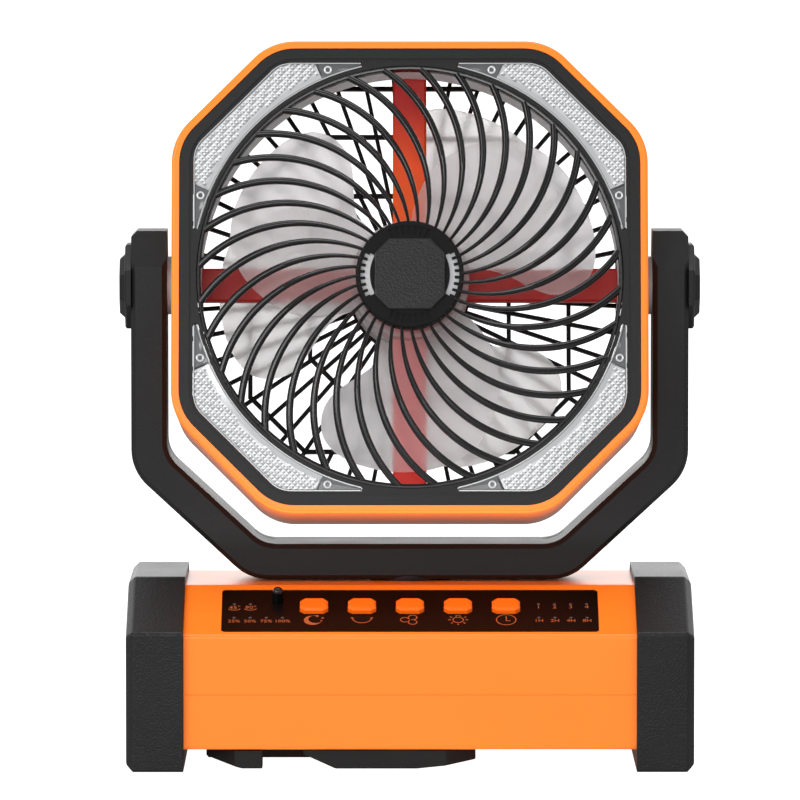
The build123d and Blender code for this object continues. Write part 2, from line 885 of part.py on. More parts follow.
def head_lead():
    """The lead from the base through the spindle and up inside the right-hand arm."""
    top = axis_height - cover_stop - lead_bend
    corners = yoke_points(lead_middle(), top)
    points = [
        (lead_offset, yoke_y, spindle_bottom - retainer_thickness),
        (lead_offset, yoke_y, corners[2][1]),
        (corners[2][0], yoke_y, corners[2][1]),
        (corners[1][0], yoke_y, corners[1][1]),
        (corners[0][0], yoke_y, top),
    ]
    path = FilletPolyline(*points, radius=lead_bend)
    start = Plane(origin=points[0], z_dir=(0, 0, 1))
    return sweep(start * Circle(lead_radius), path=path)


def swing_shaft():
    plan = Pos(0, yoke_y) * Circle(swing_shaft_radius)
    return along_z(plan, swing_ear_top - swing_shaft_grip, spindle_bottom + spindle_bore_depth - seat_gap)


def spindle_retainer():
    """Disc under the top wall that keeps the yoke from lifting."""
    low = spindle_bottom - retainer_thickness
    disc = along_z(Pos(0, yoke_y) * ring(retainer_radius, swing_shaft_radius + seat_gap), low, spindle_bottom)
    disc -= lead_hole(lead_radius + seat_gap, low - cut_over, spindle_bottom + cut_over)
    return disc - [retainer_screw(angle, seat_gap / 2) for angle in retainer_screw_angles]


def retainer_screw(angle, grow):
    """A screw up through the retainer into the spindle, grown all round for its hole."""
    x, y = polar(retainer_screw_circle, angle)
    plan = Pos(x, yoke_y + y)
    low = spindle_bottom - retainer_thickness
    head = along_z(plan * Circle(retainer_screw_head), low - retainer_screw_head_height, low)
    shank = plan * Circle(retainer_screw_radius + grow)
    return head + along_z(shank, low, spindle_bottom + retainer_screw_length + grow)


def retainer_screws():
    return Part() + [retainer_screw(angle, 0) for angle in retainer_screw_angles]


def octagon(size):
    """Regular octagon, flat on every axis, measured across its flats."""
    return RegularPolygon(size / 2, 8, major_radius=False, rotation=22.5)


def right_pivot_cover():
    """Stepped octagonal cap over a pivot."""
    axis = Pos(yoke_y, axis_height)
    step = yoke_half + pivot_cover_thickness
    plate = along_x(axis * octagon(pivot_cover_size), yoke_half, step)
    plate = chamfer(plate.faces().sort_by(Axis.X)[-1].edges(), pivot_cover_bevel)
    root = Plane.YZ.offset(step) * axis * octagon(pivot_knob_size)
    tip = Plane.YZ.offset(step + pivot_knob_rise) * axis * octagon(pivot_knob_top)
    return plate + loft([root, tip])


# Head, drawn upright about its tilt axis

def cut_square(half, leg, radius):
    """Square with cut corners, and every corner of that rounded."""
    square = chamfer(Rectangle(2 * half, 2 * half).vertices(), leg)
    return fillet(square.vertices(), radius)


def corner_reach(half, leg):
    """Distance from the middle of a square to its cut corners."""
    return (2 * half - leg) / math.sqrt(2)


def head_outline(inset):
    """Outline of the head, moved in by an even amount."""
    leg = head_corner_leg - (2 - math.sqrt(2)) * inset
    return cut_square(head_half - inset, leg, head_corner_radius - inset)


def rear_outline(inset):
    """Outline of the opening in the back of the head, moved in by an even amount."""
    leg = rear_corner_leg - (2 - math.sqrt(2)) * inset
    return cut_square(rear_half - inset, leg, rear_corner_radius - inset)


def rear_rim(grow):
    """Outline of the rear grille's rim, broad at the corners for its screws, grown all round."""
    return cut_square(rear_half + rear_seat_width + grow, rear_rim_leg, rear_corner_radius)


def depth_plane(depth):
    """Front-facing plane at a depth behind the head's front edge."""
    return Plane(origin=(0, depth - head_depth / 2, 0), x_dir=(1, 0, 0), z_dir=(0, -1, 0))


def pivot_x(sketch, start, stop, side):
    """A side view about the tilt axis, stretched between two distances out from the middle."""
    return along_x(sketch, min(side * start, side * stop), max(side * start, side * stop))


def head_shell():
    shell = loft([depth_plane(head_depth) * head_outline(head_taper), depth_plane(0) * head_outline(0)])
    shell = fillet(shell.faces().sort_by(Axis.Y)[0].edges(), head_front_round)
    shell = fillet(shell.faces().sort_by(Axis.Y)[-1].edges(), head_rear_round)
    shell -= slab(head_outline(head_wall), -cut_over, head_depth - rear_flange_depth)
    shell -= slab(rear_outline(0), 0, head_depth + cut_over)
    shell -= slab(rear_rim(seat_gap), head_depth - rear_seat_depth, head_depth + cut_over)
    shell -= [pivot_x(Circle(pivot_radius + bearing_gap), 0, head_half + cut_over, side) for side in (-1, 1)]
    return shell - [rear_screw(place, seat_gap / 2) for place in rear_screw_places()]


def lens_outline(grow):
    """Crescent between the grille ring and the upper right corner, grown all round."""
    half = head_half - lens_side_border + grow
    corner = corner_reach(head_half, head_corner_leg) - lens_corner_border + grow
    outer = cut_square(half, 2 * half - math.sqrt(2) * corner, lens_corner_radius + grow)
    band = outer - Circle(lens_inner_radius - grow)
    reach = 2 * head_half
    spread = lens_half_angle + math.degrees(grow / lens_inner_radius)
    wedge = Polygon((0, 0), polar(reach, 45 - spread), polar(reach, 45 + spread), align=None)
    return band & wedge


def four_corners(shape):
    """Copies of an upper right piece in all four corners of the head."""
    return [Rot(Y=-90 * corner) * shape for corner in range(4)]


def front_bezel():
    rear = bezel_set + bezel_depth
    plate = slab(head_outline(head_wall + seat_gap), bezel_set, rear)
    plate -= slab(head_outline(head_wall + bezel_band), -cut_over, bezel_set + bezel_step)
    plate -= slab(Circle(ring_outer_radius + seat_gap), -cut_over, rear + cut_over)
    return plate - four_corners(slab(lens_outline(seat_gap), -cut_over, rear + cut_over))


def lamp_lens():
    """Clear cover of one corner lamp: a face with a skirt and a flange behind the bezel."""
    front = bezel_set + bezel_step - seat_gap
    rear = bezel_set + bezel_depth
    face = slab(lens_outline(0), front, front + lens_face)
    skirt = slab(lens_outline(0) - lens_outline(-lens_skirt), front + lens_face, rear)
    flange = slab(lens_outline(lens_flange) - lens_outline(-lens_skirt), rear, rear + lens_flange_thickness)
    return face + skirt + flange


def lamp_board_front():
    """Depth of the lamp boards, seated behind the lens flanges."""
    return bezel_set + bezel_depth + lens_flange_thickness


def lamp_boards():
    front = lamp_board_front()
    board = slab(lens_outline(-lens_skirt + lamp_board_inset), front, front + lamp_board_thickness)
    return Part() + four_corners(board)


def lamp_leds():
    """A row of square light chips on each lamp board."""
    front = lamp_board_front()
    chips = []
    for index in range(lamp_led_count):
        angle = 45 + (index - (lamp_led_count - 1) / 2) * lamp_led_step
        place = Rot(Z=angle) * Pos(lamp_led_radius, 0)
        chips.append(slab(place * Rectangle(lamp_led_size, lamp_led_size), front - lamp_led_height, front))
    return Part() + four_corners(Part() + chips)


def grille_dome():
    """Shallow crowned shell that gives the ribs their depth."""
    half = head_depth / 2
    crown = (hub_radius + grille_radius) / 2
    crown_depth = bezel_set - grille_rise / 2 - grille_crown - half
    edge = (ring_outer_radius, bezel_set - half)
    root = (0, bezel_set - grille_rise - half)
    front = ThreePointArc(edge, (crown, crown_depth), root)
    rear_edge = (edge[0], edge[1] + rib_depth)
    rear_root = (0, root[1] + rib_depth)
    rear = ThreePointArc(rear_root, (crown, crown_depth + rib_depth), rear_edge)
    profile = make_face(Curve() + [front, Line(root, rear_root), rear, Line(rear_edge, edge)])
    return revolve(profile, axis=Axis.Y)


def grille_ribs():
    """Swirling ribs: each a circular arc from the hub to the ring."""
    outer = grille_radius + grille_ring_width / 2
    middle = (rib_root_radius + outer) / 2
    ribs = Sketch()
    for index in range(rib_count):
        turn = rib_phase + index * 360 / rib_count
        arc = ThreePointArc(
            polar(rib_root_radius, turn),
            polar(middle, turn + rib_middle_sweep),
            polar(outer, turn + rib_sweep),
        )
        ribs += trace(arc, line_width=rib_width)
    return ribs


def hub_vents():
    """Four arc-shaped vents in the hub, each crossed by short radial bars."""
    band = ring(vent_outer_radius, vent_inner_radius)
    reach = 2 * vent_outer_radius
    vents = []
    for quarter in range(4):
        middle = 90 * quarter
        low = polar(reach, middle - vent_half_angle)
        high = polar(reach, middle + vent_half_angle)
        vent = band & Polygon((0, 0), low, high, align=None)
        for index in range(vent_bars):
            angle = middle + ((index + 1) / (vent_bars + 1) * 2 - 1) * vent_half_angle
            vent -= Rot(Z=angle) * Pos(vent_inner_radius, 0) * Rectangle(vent_inner_radius, vent_bar_width)
        vents.append(vent)
    return vents


def front_grille():
    hub_front = bezel_set - grille_rise
    grille = slab(grille_ribs(), hub_front - cut_over, bezel_set + grille_ring_depth) & grille_dome()
    grille += slab(ring(ring_outer_radius, grille_radius), bezel_set, bezel_set + grille_ring_depth)
    hub = Circle(hub_radius)
    for vent in hub_vents():
        hub -= vent
    grille += slab(hub, hub_front, hub_front + hub_disc)
    return grille + slab(ring(hub_radius, hub_radius - hub_wall), hub_front, hub_front + hub_depth)


def hub_badge():
    """Bare chamfered plate on the hub."""
    rear = bezel_set - grille_rise
    outline = chamfer(Rectangle(badge_width, badge_width).vertices(), badge_corner)
    plate = slab(outline, rear - badge_thickness, rear)
    return chamfer(plate.faces().sort_by(Axis.Y)[0].edges(), badge_edge)


def duct_ring():
    """Pale sleeve that lines the opening behind the grille ring."""
    front = bezel_set + grille_ring_depth
    return slab(ring(grille_radius + duct_wall, grille_radius), front, front + duct_depth)


def motor_cross():
    """Four struts that carry the motors in the middle of the shell."""
    reach_up = shell_inner - seat_gap
    reach_side = shell_inner - pivot_flange_thickness - seat_gap
    struts = slab(Rectangle(cross_width, 2 * reach_up), cross_front, cross_rear)
    struts += slab(Rectangle(2 * reach_side, cross_width), cross_front, cross_rear)
    struts += slab(Circle(cross_hub_radius), cross_front, cross_rear)
    return chamfer(struts.faces().sort_by(Axis.Y)[0].edges(), cross_edge)


def fan_motor(seat, outward):
    """A motor can on the cross, with the bore that its shaft turns in; outward is -1 for the front."""
    tip = seat + outward * motor_length
    can = slab(Circle(motor_radius), min(seat, tip), max(seat, tip))
    end = can.faces().sort_by(Axis.Y)[-1 if outward > 0 else 0]
    can = chamfer(end.edges(), motor_edge)
    bottom = tip - outward * (motor_shaft_grip + seat_gap)
    mouth = tip + outward * cut_over
    return can - slab(Circle(motor_shaft_radius + bearing_gap), min(bottom, mouth), max(bottom, mouth))


def fan_shaft(seat, outward):
    tip = seat + outward * motor_length
    start = tip - outward * motor_shaft_grip
    stop = tip + outward * motor_shaft_reach
    return slab(Circle(motor_shaft_radius), min(start, stop), max(start, stop))


def petal():
    """Front view of one blade: a broad petal with a swept trailing edge."""
    points = [
        polar(share * impeller_radius, angle) for share, angle in zip(petal_radius_shares, petal_angles)
    ]
    face = make_face(Curve() + [Spline(*points), Line(points[-1], points[0])])
    return face - Circle(impeller_hub_radius - impeller_hub_wall / 2)


def blade_sheet(lead_depth):
    """A screw-shaped sheet, swept from its rear leading edge to its front trailing edge."""
    inner = impeller_hub_radius / 2
    outer = impeller_radius + cut_over
    sections = []
    for index in range(blade_sections):
        share = index / (blade_sections - 1)
        angle = math.radians(petal_spread[0] + share * (petal_spread[1] - petal_spread[0]))
        depth = lead_depth - share * blade_rise - head_depth / 2
        radial = Plane(
            origin=(0, 0, 0),
            x_dir=(math.cos(angle), 0, math.sin(angle)),
            z_dir=(-math.sin(angle), 0, math.cos(angle)),
        )
        sections.append(radial * Pos((inner + outer) / 2, depth) * Rectangle(outer - inner, blade_thickness))
    return loft(sections)


def impeller(seat, outward, phase, swap):
    """Hub cup over a motor with three blades; swap mirrors the blades for the other sense of turning."""
    motor_tip = seat + outward * motor_length
    face_inner = motor_tip + outward * impeller_motor_gap
    face_outer = face_inner + outward * impeller_hub_wall
    skirt = face_outer - outward * impeller_hub_depth
    cup = slab(Circle(impeller_hub_radius), min(skirt, face_outer), max(skirt, face_outer))
    end = cup.faces().sort_by(Axis.Y)[-1 if outward > 0 else 0]
    cup = chamfer(end.edges(), impeller_hub_edge)
    bore = Circle(impeller_hub_radius - impeller_hub_wall)
    mouth = skirt - outward * cut_over
    cup -= slab(bore, min(mouth, face_inner), max(mouth, face_inner))
    boss_tip = motor_tip + outward * slide_gap
    cup += slab(Circle(impeller_boss_radius), min(boss_tip, face_outer), max(boss_tip, face_outer))
    lead = max(skirt, face_outer) - blade_thickness
    blade = blade_sheet(lead) & slab(petal(), lead - blade_rise - cut_over, lead + cut_over)
    if swap:
        blade = mirrored(blade)
    for index in range(blade_count):
        cup += Rot(Y=-phase - index * 360 / blade_count) * blade
    shaft_end = boss_tip + outward * motor_shaft_reach
    hole = Circle(motor_shaft_radius + bearing_gap)
    return cup - slab(hole, min(boss_tip, shaft_end), max(boss_tip, shaft_end))


def rear_screw_places():
    """Two screws at each cut corner of the rear grille's rim."""
    rim_corner = corner_reach(rear_half + rear_seat_width, rear_rim_leg)
    out = (corner_reach(rear_half, rear_corner_leg) + rim_corner) / 2
    reach = math.hypot(out, rear_screw_spread)
    turn = math.degrees(math.atan2(rear_screw_spread, out))
    return [polar(reach, 45 + 90 * corner + side * turn) for corner in range(4) for side in (-1, 1)]


def rear_screw(place, grow):
    """A screw through the rear grille's rim into the shell, grown all round for its hole."""
    rim_front = head_depth - rear_seat_depth
    plan = Pos(*place)
    shank = slab(plan * Circle(rear_screw_radius + grow), rim_front - rear_screw_length, head_depth)
    return shank + slab(plan * Circle(rear_screw_head), head_depth, head_depth + rear_screw_head_height)


def rear_grille_screws():
    return Part() + [rear_screw(place, 0) for place in rear_screw_places()]


def rear_ring(half, inset):
    """Outline of a square ring with cut corners in the rear grille, moved in by an even amount."""
    leg = (2 - math.sqrt(2) * rear_ring_corner) * half - (2 - math.sqrt(2)) * inset
    return chamfer(Rectangle(2 * (half - inset), 2 * (half - inset)).vertices(), leg)


def rear_grille():
    """Radial bars crossed by cut-cornered rings, with a flat hub and a rim screwed to the shell."""
    opening = rear_outline(seat_gap)
    bar_root = rear_hub_radius - rear_ring_width
    bar_tip = corner_reach(rear_half, rear_corner_leg)
    bar = Pos((bar_root + bar_tip) / 2, 0) * Rectangle(bar_tip - bar_root, rear_bar_width)
    web = Sketch() + Circle(rear_hub_radius)
    web += [
        Rot(Z=(index + rear_bar_phase_share) * 360 / rear_bar_count) * bar for index in range(rear_bar_count)
    ]
    for share in rear_ring_shares:
        half = share * rear_half
        web += rear_ring(half, -rear_ring_width / 2) - rear_ring(half, rear_ring_width / 2)
    hollow = rear_outline(rear_rim_width)
    grille = slab((web & opening) + (opening - hollow), head_depth - rear_bar_depth, head_depth)
    grille += slab(rear_rim(0) - hollow, head_depth - rear_seat_depth, head_depth)
    return grille - [rear_screw(place, seat_gap / 2) for place in rear_screw_places()]


def pivot_pins():
    """Flanged pins fixed in the shell's sides, which turn in the yoke's arms."""
    end = yoke_half - pivot_recess_depth
    pins = []
    for side in (-1, 1):
        flange = pivot_x(Circle(pivot_flange_radius), shell_inner - pivot_flange_thickness, shell_inner, side)
        pin = pivot_x(Circle(pivot_radius), shell_inner - pivot_flange_thickness, end, side)
        hole = Circle(pivot_screw_radius + seat_gap / 2)
        pins.append(flange + pin - pivot_x(hole, end - pivot_screw_length - seat_gap, end + cut_over, side))
    return Part() + pins


def tilt_washers():
    """Friction washers between the shell's sides and the arms."""
    washers = []
    for side in (-1, 1):
        plan = ring(tilt_washer_radius, pivot_radius + bearing_gap)
        washers.append(pivot_x(plan, head_half + seat_gap, arm_inner - seat_gap, side))
    return Part() + washers


def pivot_screws():
    """Broad-headed screws that keep the arms on the pins."""
    end = yoke_half - pivot_recess_depth
    seat = end + seat_gap
    screws = []
    for side in (-1, 1):
        head = pivot_x(Circle(pivot_screw_head), seat, seat + pivot_screw_head_height, side)
        shank = pivot_x(Circle(pivot_screw_radius), end - pivot_screw_length, seat, side)
        screws.append(head + shank)
    return Part() + screws


# All nodes by name

def base_nodes():
    cap = right_end_cap()
    nodes = {
        "base_upper_shell": base_upper_shell(),
        "base_lower_shell": base_lower_shell(),
        "left_end_cap": mirrored(cap),
        "right_end_cap": cap,
        "control_panel": control_panel(),
        "remote_receiver": remote_receiver(),
        "indicator_lights": indicator_lights(),
        "control_board": control_board(),
        "tact_switches": tact_switches(),
        "battery_cells": battery_cells(),
        "battery_tray": battery_tray(),
        "power_board": power_board(),
        "charge_socket": charge_socket(),
        "swing_motor": swing_motor(),
        "slip_washer": slip_washer(),
        "base_screws": base_screws(),
        "hook_pins": hook_pins(),
        "hanging_hook": hanging_hook(),
    }
    for name, x in zip(button_names, button_places):
        nodes[name] = push_button(x)
    return nodes


def yoke_nodes():
    cover = right_pivot_cover()
    return {
        "yoke": yoke(),
        "yoke_inner_cover": yoke_inner_cover(),
        "head_lead": head_lead(),
        "swing_shaft": swing_shaft(),
        "spindle_retainer": spindle_retainer(),
        "retainer_screws": retainer_screws(),
        "left_pivot_cover": mirrored(cover),
        "right_pivot_cover": cover,
    }


def head_nodes():
    nodes = {
        "head_shell": head_shell(),
        "front_bezel": front_bezel(),
        "lamp_boards": lamp_boards(),
        "lamp_leds": lamp_leds(),
        "front_grille": front_grille(),
        "hub_badge": hub_badge(),
        "duct_ring": duct_ring(),
        "motor_cross": motor_cross(),
        "front_motor": fan_motor(cross_front, -1),
        "rear_motor": fan_motor(cross_rear, 1),
        "front_shaft": fan_shaft(cross_front, -1),
        "rear_shaft": fan_shaft(cross_rear, 1),
        "front_impeller": impeller(cross_front, -1, front_petal_phase, False),
        "rear_impeller": impeller(cross_rear, 1, rear_petal_phase, True),
        "rear_grille": rear_grille(),
        "rear_grille_screws": rear_grille_screws(),
        "pivot_pins": pivot_pins(),
        "tilt_washers": tilt_washers(),
        "pivot_screws": pivot_screws(),
    }
    corners = ("upper_right_lens", "upper_left_lens", "lower_left_lens", "lower_right_lens")
    for name, lens in zip(corners, four_corners(lamp_lens())):
        nodes[name] = lens
    return {name: in_yoke(shape) for name, shape in nodes.items()}


os.makedirs("parts", exist_ok=True)
for node_group in (base_nodes(), yoke_nodes(), head_nodes()):
    for node_name, node_shape in node_group.items():
        export_step(node_shape, f"parts/{node_name}.step")
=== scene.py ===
import math
from itertools import product

import bmesh
import bpy
from mathutils import Matrix, Vector


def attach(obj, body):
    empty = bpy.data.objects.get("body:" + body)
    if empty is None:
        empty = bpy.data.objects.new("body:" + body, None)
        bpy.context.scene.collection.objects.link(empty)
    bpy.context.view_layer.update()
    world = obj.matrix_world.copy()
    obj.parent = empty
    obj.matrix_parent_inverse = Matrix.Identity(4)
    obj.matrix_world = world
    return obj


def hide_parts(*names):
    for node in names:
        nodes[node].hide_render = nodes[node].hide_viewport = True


# Looks of a rechargeable fan. Lengths are in millimetres and become metres where meshes are made.
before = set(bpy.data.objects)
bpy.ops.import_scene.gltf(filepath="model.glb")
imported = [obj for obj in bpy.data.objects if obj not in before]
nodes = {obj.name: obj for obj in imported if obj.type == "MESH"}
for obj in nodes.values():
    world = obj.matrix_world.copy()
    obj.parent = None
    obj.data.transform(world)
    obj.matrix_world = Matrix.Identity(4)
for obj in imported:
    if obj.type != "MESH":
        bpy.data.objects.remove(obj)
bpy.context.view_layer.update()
MM = 0.001
WELD_GAP, MERGE_GAP = 0.002 * MM, 0.001 * MM

# Head: it leans back about the tilt axis, and depths are counted back from its front edge
TILT_AXIS = (0.0, 14.0, 209.6)
HEAD_LEAN = 12.2
HEAD_MIDDLE = 28.5
HEAD_PLACE = Matrix.Translation(TILT_AXIS) @ Matrix.Rotation(math.radians(-HEAD_LEAN), 4, "X")

# Control panel: a sloping plane with x to the right and y up the slope
PANEL_SLOPE = math.radians(25.239)
PANEL_MIDDLE = Vector((0.0, -39.182, 69.242))
PANEL_FACE = -0.3
PANEL_UP = Vector((0.0, math.cos(PANEL_SLOPE), math.sin(PANEL_SLOPE)))
PANEL_OUT = Vector((0.0, -math.sin(PANEL_SLOPE), math.cos(PANEL_SLOPE)))


def in_head(x, depth, z):
    return HEAD_PLACE @ Vector((x, depth - HEAD_MIDDLE, z))


def on_panel(x, y, out):
    return PANEL_MIDDLE + Vector((x, 0, 0)) + PANEL_UP * y + PANEL_OUT * (PANEL_FACE + out)


# Materials

GRAIN_RELIEF = 0.2 * MM
BROAD_WAVES, STREAK_WAVES = 45, 900
STREAK_STRETCH = (1.0, 1.0, 0.08)
STREAK_DARK, STREAK_LIGHT = 0.85, 1.1
BLADE_IOR = 1.2


def shade(colour, factor):
    return tuple(min(1.0, channel * factor) for channel in colour) + (1.0,)


def new_material(name):
    made = bpy.data.materials.new(name)
    made.use_nodes = True
    tree = made.node_tree.nodes
    return made, tree, made.node_tree.links, tree["Principled BSDF"]


def noise(tree, links, scale, detail, stretch=None):
    """Object-space noise of a given number of waves per metre, which a stretch can draw out."""
    place = tree.new("ShaderNodeTexCoord").outputs["Object"]
    if stretch:
        mapping = tree.new("ShaderNodeMapping")
        mapping.inputs["Scale"].default_value = stretch
        links.new(place, mapping.inputs["Vector"])
        place = mapping.outputs["Vector"]
    made = tree.new("ShaderNodeTexNoise")
    made.inputs["Scale"].default_value = scale
    made.inputs["Detail"].default_value = detail
    links.new(place, made.inputs["Vector"])
    return made.outputs["Fac"]


def vary_colour(tree, links, factor, low, high):
    tone = tree.new("ShaderNodeMix")
    tone.data_type = "RGBA"
    tone.inputs["A"].default_value = low
    tone.inputs["B"].default_value = high
    links.new(factor, tone.inputs["Factor"])
    links.new(tone.outputs["Result"], tree["Principled BSDF"].inputs["Base Color"])


def vary_gloss(tree, links, factor, low, high):
    gloss = tree.new("ShaderNodeMapRange")
    gloss.inputs["To Min"].default_value = low
    gloss.inputs["To Max"].default_value = high
    links.new(factor, gloss.inputs["Value"])
    links.new(gloss.outputs["Result"], tree["Principled BSDF"].inputs["Roughness"])


def fade_to_clear(tree, links, factor):
    """Makes a surface see-through by a factor."""
    clear = tree.new("ShaderNodeBsdfTransparent")
    both = tree.new("ShaderNodeMixShader")
    links.new(factor, both.inputs["Fac"])
    links.new(tree["Principled BSDF"].outputs["BSDF"], both.inputs[1])
    links.new(clear.outputs["BSDF"], both.inputs[2])
    links.new(both.outputs["Shader"], tree["Material Output"].inputs["Surface"])


def grained(name, rough, specular=0.4, grain=1800, bump=0.12, uneven=0.05):
    """Plastic with a fine grain and a slightly uneven gloss, before it gets its colour."""
    made, tree, links, shader = new_material(name)
    relief = tree.new("ShaderNodeBump")
    relief.inputs["Strength"].default_value = bump
    relief.inputs["Distance"].default_value = GRAIN_RELIEF
    links.new(noise(tree, links, grain, 2), relief.inputs["Height"])
    links.new(relief.outputs["Normal"], shader.inputs["Normal"])
    broad = noise(tree, links, BROAD_WAVES, 4)
    vary_gloss(tree, links, broad, rough - uneven, rough + uneven)
    shader.inputs["Specular IOR Level"].default_value = specular
    return made, tree, links, broad


def moulded(name, colour, rough, mottle=0.05, **feel):
    """Moulded plastic with a faint unevenness of colour."""
    made, tree, links, broad = grained(name, rough, **feel)
    vary_colour(tree, links, broad, shade(colour, 1 - mottle), shade(colour, 1 + mottle))
    return made


def painted_light_by_height(name, stops, rough, **feel):
    """Moulded plastic with light and shade painted into its colour, as a ramp by height above the
    floor, in metres.
    """
    made, tree, links, _ = grained(name, rough, **feel)
    axes = tree.new("ShaderNodeSeparateXYZ")
    links.new(tree.new("ShaderNodeTexCoord").outputs["Object"], axes.inputs["Vector"])
    ramp = tree.new("ShaderNodeValToRGB")
    while len(ramp.color_ramp.elements) < len(stops):
        ramp.color_ramp.elements.new(1.0)
    for element, (height, colour) in zip(ramp.color_ramp.elements, stops):
        element.position = height
        element.color = colour + (1.0,)
    links.new(axes.outputs["Z"], ramp.inputs["Fac"])
    links.new(ramp.outputs["Color"], tree["Principled BSDF"].inputs["Base Color"])
    return made


def drawn_metal(name, colour, rough):
    """Drawn metal with fine streaks."""
    made, tree, links, shader = new_material(name)
    streak = noise(tree, links, STREAK_WAVES, 3, STREAK_STRETCH)
    vary_colour(tree, links, streak, shade(colour, STREAK_DARK), shade(colour, STREAK_LIGHT))
    vary_gloss(tree, links, streak, rough - 0.08, rough + 0.1)
    shader.inputs["Metallic"].default_value = 1.0
    return made


def frosted(name, colour, rough, passing, lit_through):
    """Milky translucent plastic: things close behind show softly, and light shines through."""
    made = moulded(name, colour, rough, mottle=0.01, grain=1200, bump=0.02, uneven=0.01)
    tree, links = made.node_tree.nodes, made.node_tree.links
    shader = tree["Principled BSDF"]
    shader.inputs["Transmission Weight"].default_value = passing
    shader.inputs["IOR"].default_value = BLADE_IOR
    path = tree.new("ShaderNodeLightPath")
    share = tree.new("ShaderNodeMapRange")
    share.inputs["To Max"].default_value = lit_through
    links.new(path.outputs["Is Shadow Ray"], share.inputs["Value"])
    fade_to_clear(tree, links, share.outputs["Result"])
    return made


def prism(name, colour, mottle, rough=0.12, specular=0.9):
    """Glossy plastic of one of the tones that a clear lamp cover shows; the lit and shaded copies
    paint light and shade onto its facets.
    """
    return moulded(name, colour, rough, mottle, specular=specular, grain=900, bump=0.02)


orange = moulded(
    "orange_shell", (0.94, 0.2, 0.016), 0.29,
    specular=0.3, grain=2600, bump=0.04, mottle=0.02, uneven=0.02,
)
key_orange = moulded(
    "key_orange", (0.95, 0.135, 0.004), 0.35,
    specular=0.25, grain=2600, bump=0.03, mottle=0.02,
)
cross_painted_light_and_shade = painted_light_by_height(
    "cross_painted_light_and_shade",
    # Painted light and shade by height: the lower strut and the upper strut near the hub are lit,
    # the side struts at the hub's height and the upper strut's end are painted dark red.
    (
        (0.0, (0.78, 0.024, 0.012)),
        (0.188, (0.78, 0.024, 0.012)),
        (0.198, (0.33, 0.012, 0.01)),
        (0.218, (0.36, 0.014, 0.01)),
        (0.234, (0.95, 0.12, 0.012)),
        (0.262, (0.9, 0.085, 0.012)),
        (0.288, (0.45, 0.016, 0.011)),
    ),
    0.4,
    specular=0.25, grain=2600, bump=0.04,
)
black = moulded(
    "black_plastic", (0.0085, 0.0085, 0.0088), 0.42,
    specular=0.24, grain=1500, bump=0.3, mottle=0.15,
)
cap_black = moulded(
    "cap_black", (0.0092, 0.0092, 0.0095), 0.36,
    specular=0.26, grain=1100, bump=1.0, mottle=0.2,
)
bar_black = moulded(
    "bar_black", (0.0035, 0.0035, 0.0037), 0.5,
    specular=0.12, grain=2400, bump=0.05, mottle=0.1,
)
satin_black = moulded(
    "satin_black", (0.0045, 0.0045, 0.0048), 0.2,
    specular=0.45, grain=2400, bump=0.04, mottle=0.1,
)
panel_black = moulded(
    "panel_gloss", (0.003, 0.0014, 0.0014), 0.3,
    specular=0.08, grain=2600, bump=0.02, mottle=0.1,
)
receiver_black = moulded(
    "receiver_gloss", (0.002, 0.002, 0.0024), 0.1,
    specular=0.4, grain=2600, bump=0.01,
)
pale = moulded("pale_plastic", (0.55, 0.55, 0.56), 0.45, grain=2200, bump=0.05)
board_green = moulded(
    "circuit_board", (0.015, 0.12, 0.05), 0.35,
    grain=700, bump=0.1, mottle=0.25,
)
board_white = moulded("lamp_board", (0.7, 0.7, 0.69), 0.4, grain=700, bump=0.1, mottle=0.08)
switch_black = moulded("switch_plastic", (0.03, 0.03, 0.032), 0.5)
cell_wrap = moulded("cell_wrap", (0.06, 0.2, 0.5), 0.3, grain=900, bump=0.03)
lead_black = moulded("lead_rubber", (0.015, 0.015, 0.015), 0.6)
motor_steel = drawn_metal("motor_steel", (0.62, 0.62, 0.64), 0.32)
screw_steel = drawn_metal("fastener_steel", (0.5, 0.5, 0.52), 0.35)
light_pipe = moulded(
    "light_pipe", (0.07, 0.07, 0.075), 0.3,
    specular=0.3, grain=2200, bump=0.03,
)
front_blade = frosted("front_blade_plastic", (0.86, 0.835, 0.842), 0.48, 0.87, 0.6)
rear_blade = frosted("rear_blade_plastic", (0.88, 0.88, 0.88), 0.8, 0.75, 0.5)
# The lit and shaded copies of the cover's plastic paint light and shade on the prism facets.
prism_painted_lit = prism("prism_painted_lit", (0.77, 0.78, 0.79), 0.02)
prism_middle = prism("prism_middle", (0.45, 0.455, 0.46), 0.03)
prism_painted_shade = prism("prism_painted_shade", (0.26, 0.265, 0.27), 0.05)
prism_border = prism("prism_border", (0.37, 0.375, 0.38), 0.03)
prism_tip = prism("prism_tip", (0.1, 0.102, 0.105), 0.05, rough=0.14, specular=0.45)
panel_ink = moulded(
    "panel_ink", (0.4, 0.085, 0.022), 0.55,
    specular=0.2, grain=3000, bump=0.05, mottle=0.08,
)

BUTTONS = ("sleep_button", "swing_button", "speed_button", "light_button", "timer_button")
LENSES = ("upper_right_lens", "upper_left_lens", "lower_left_lens", "lower_right_lens")

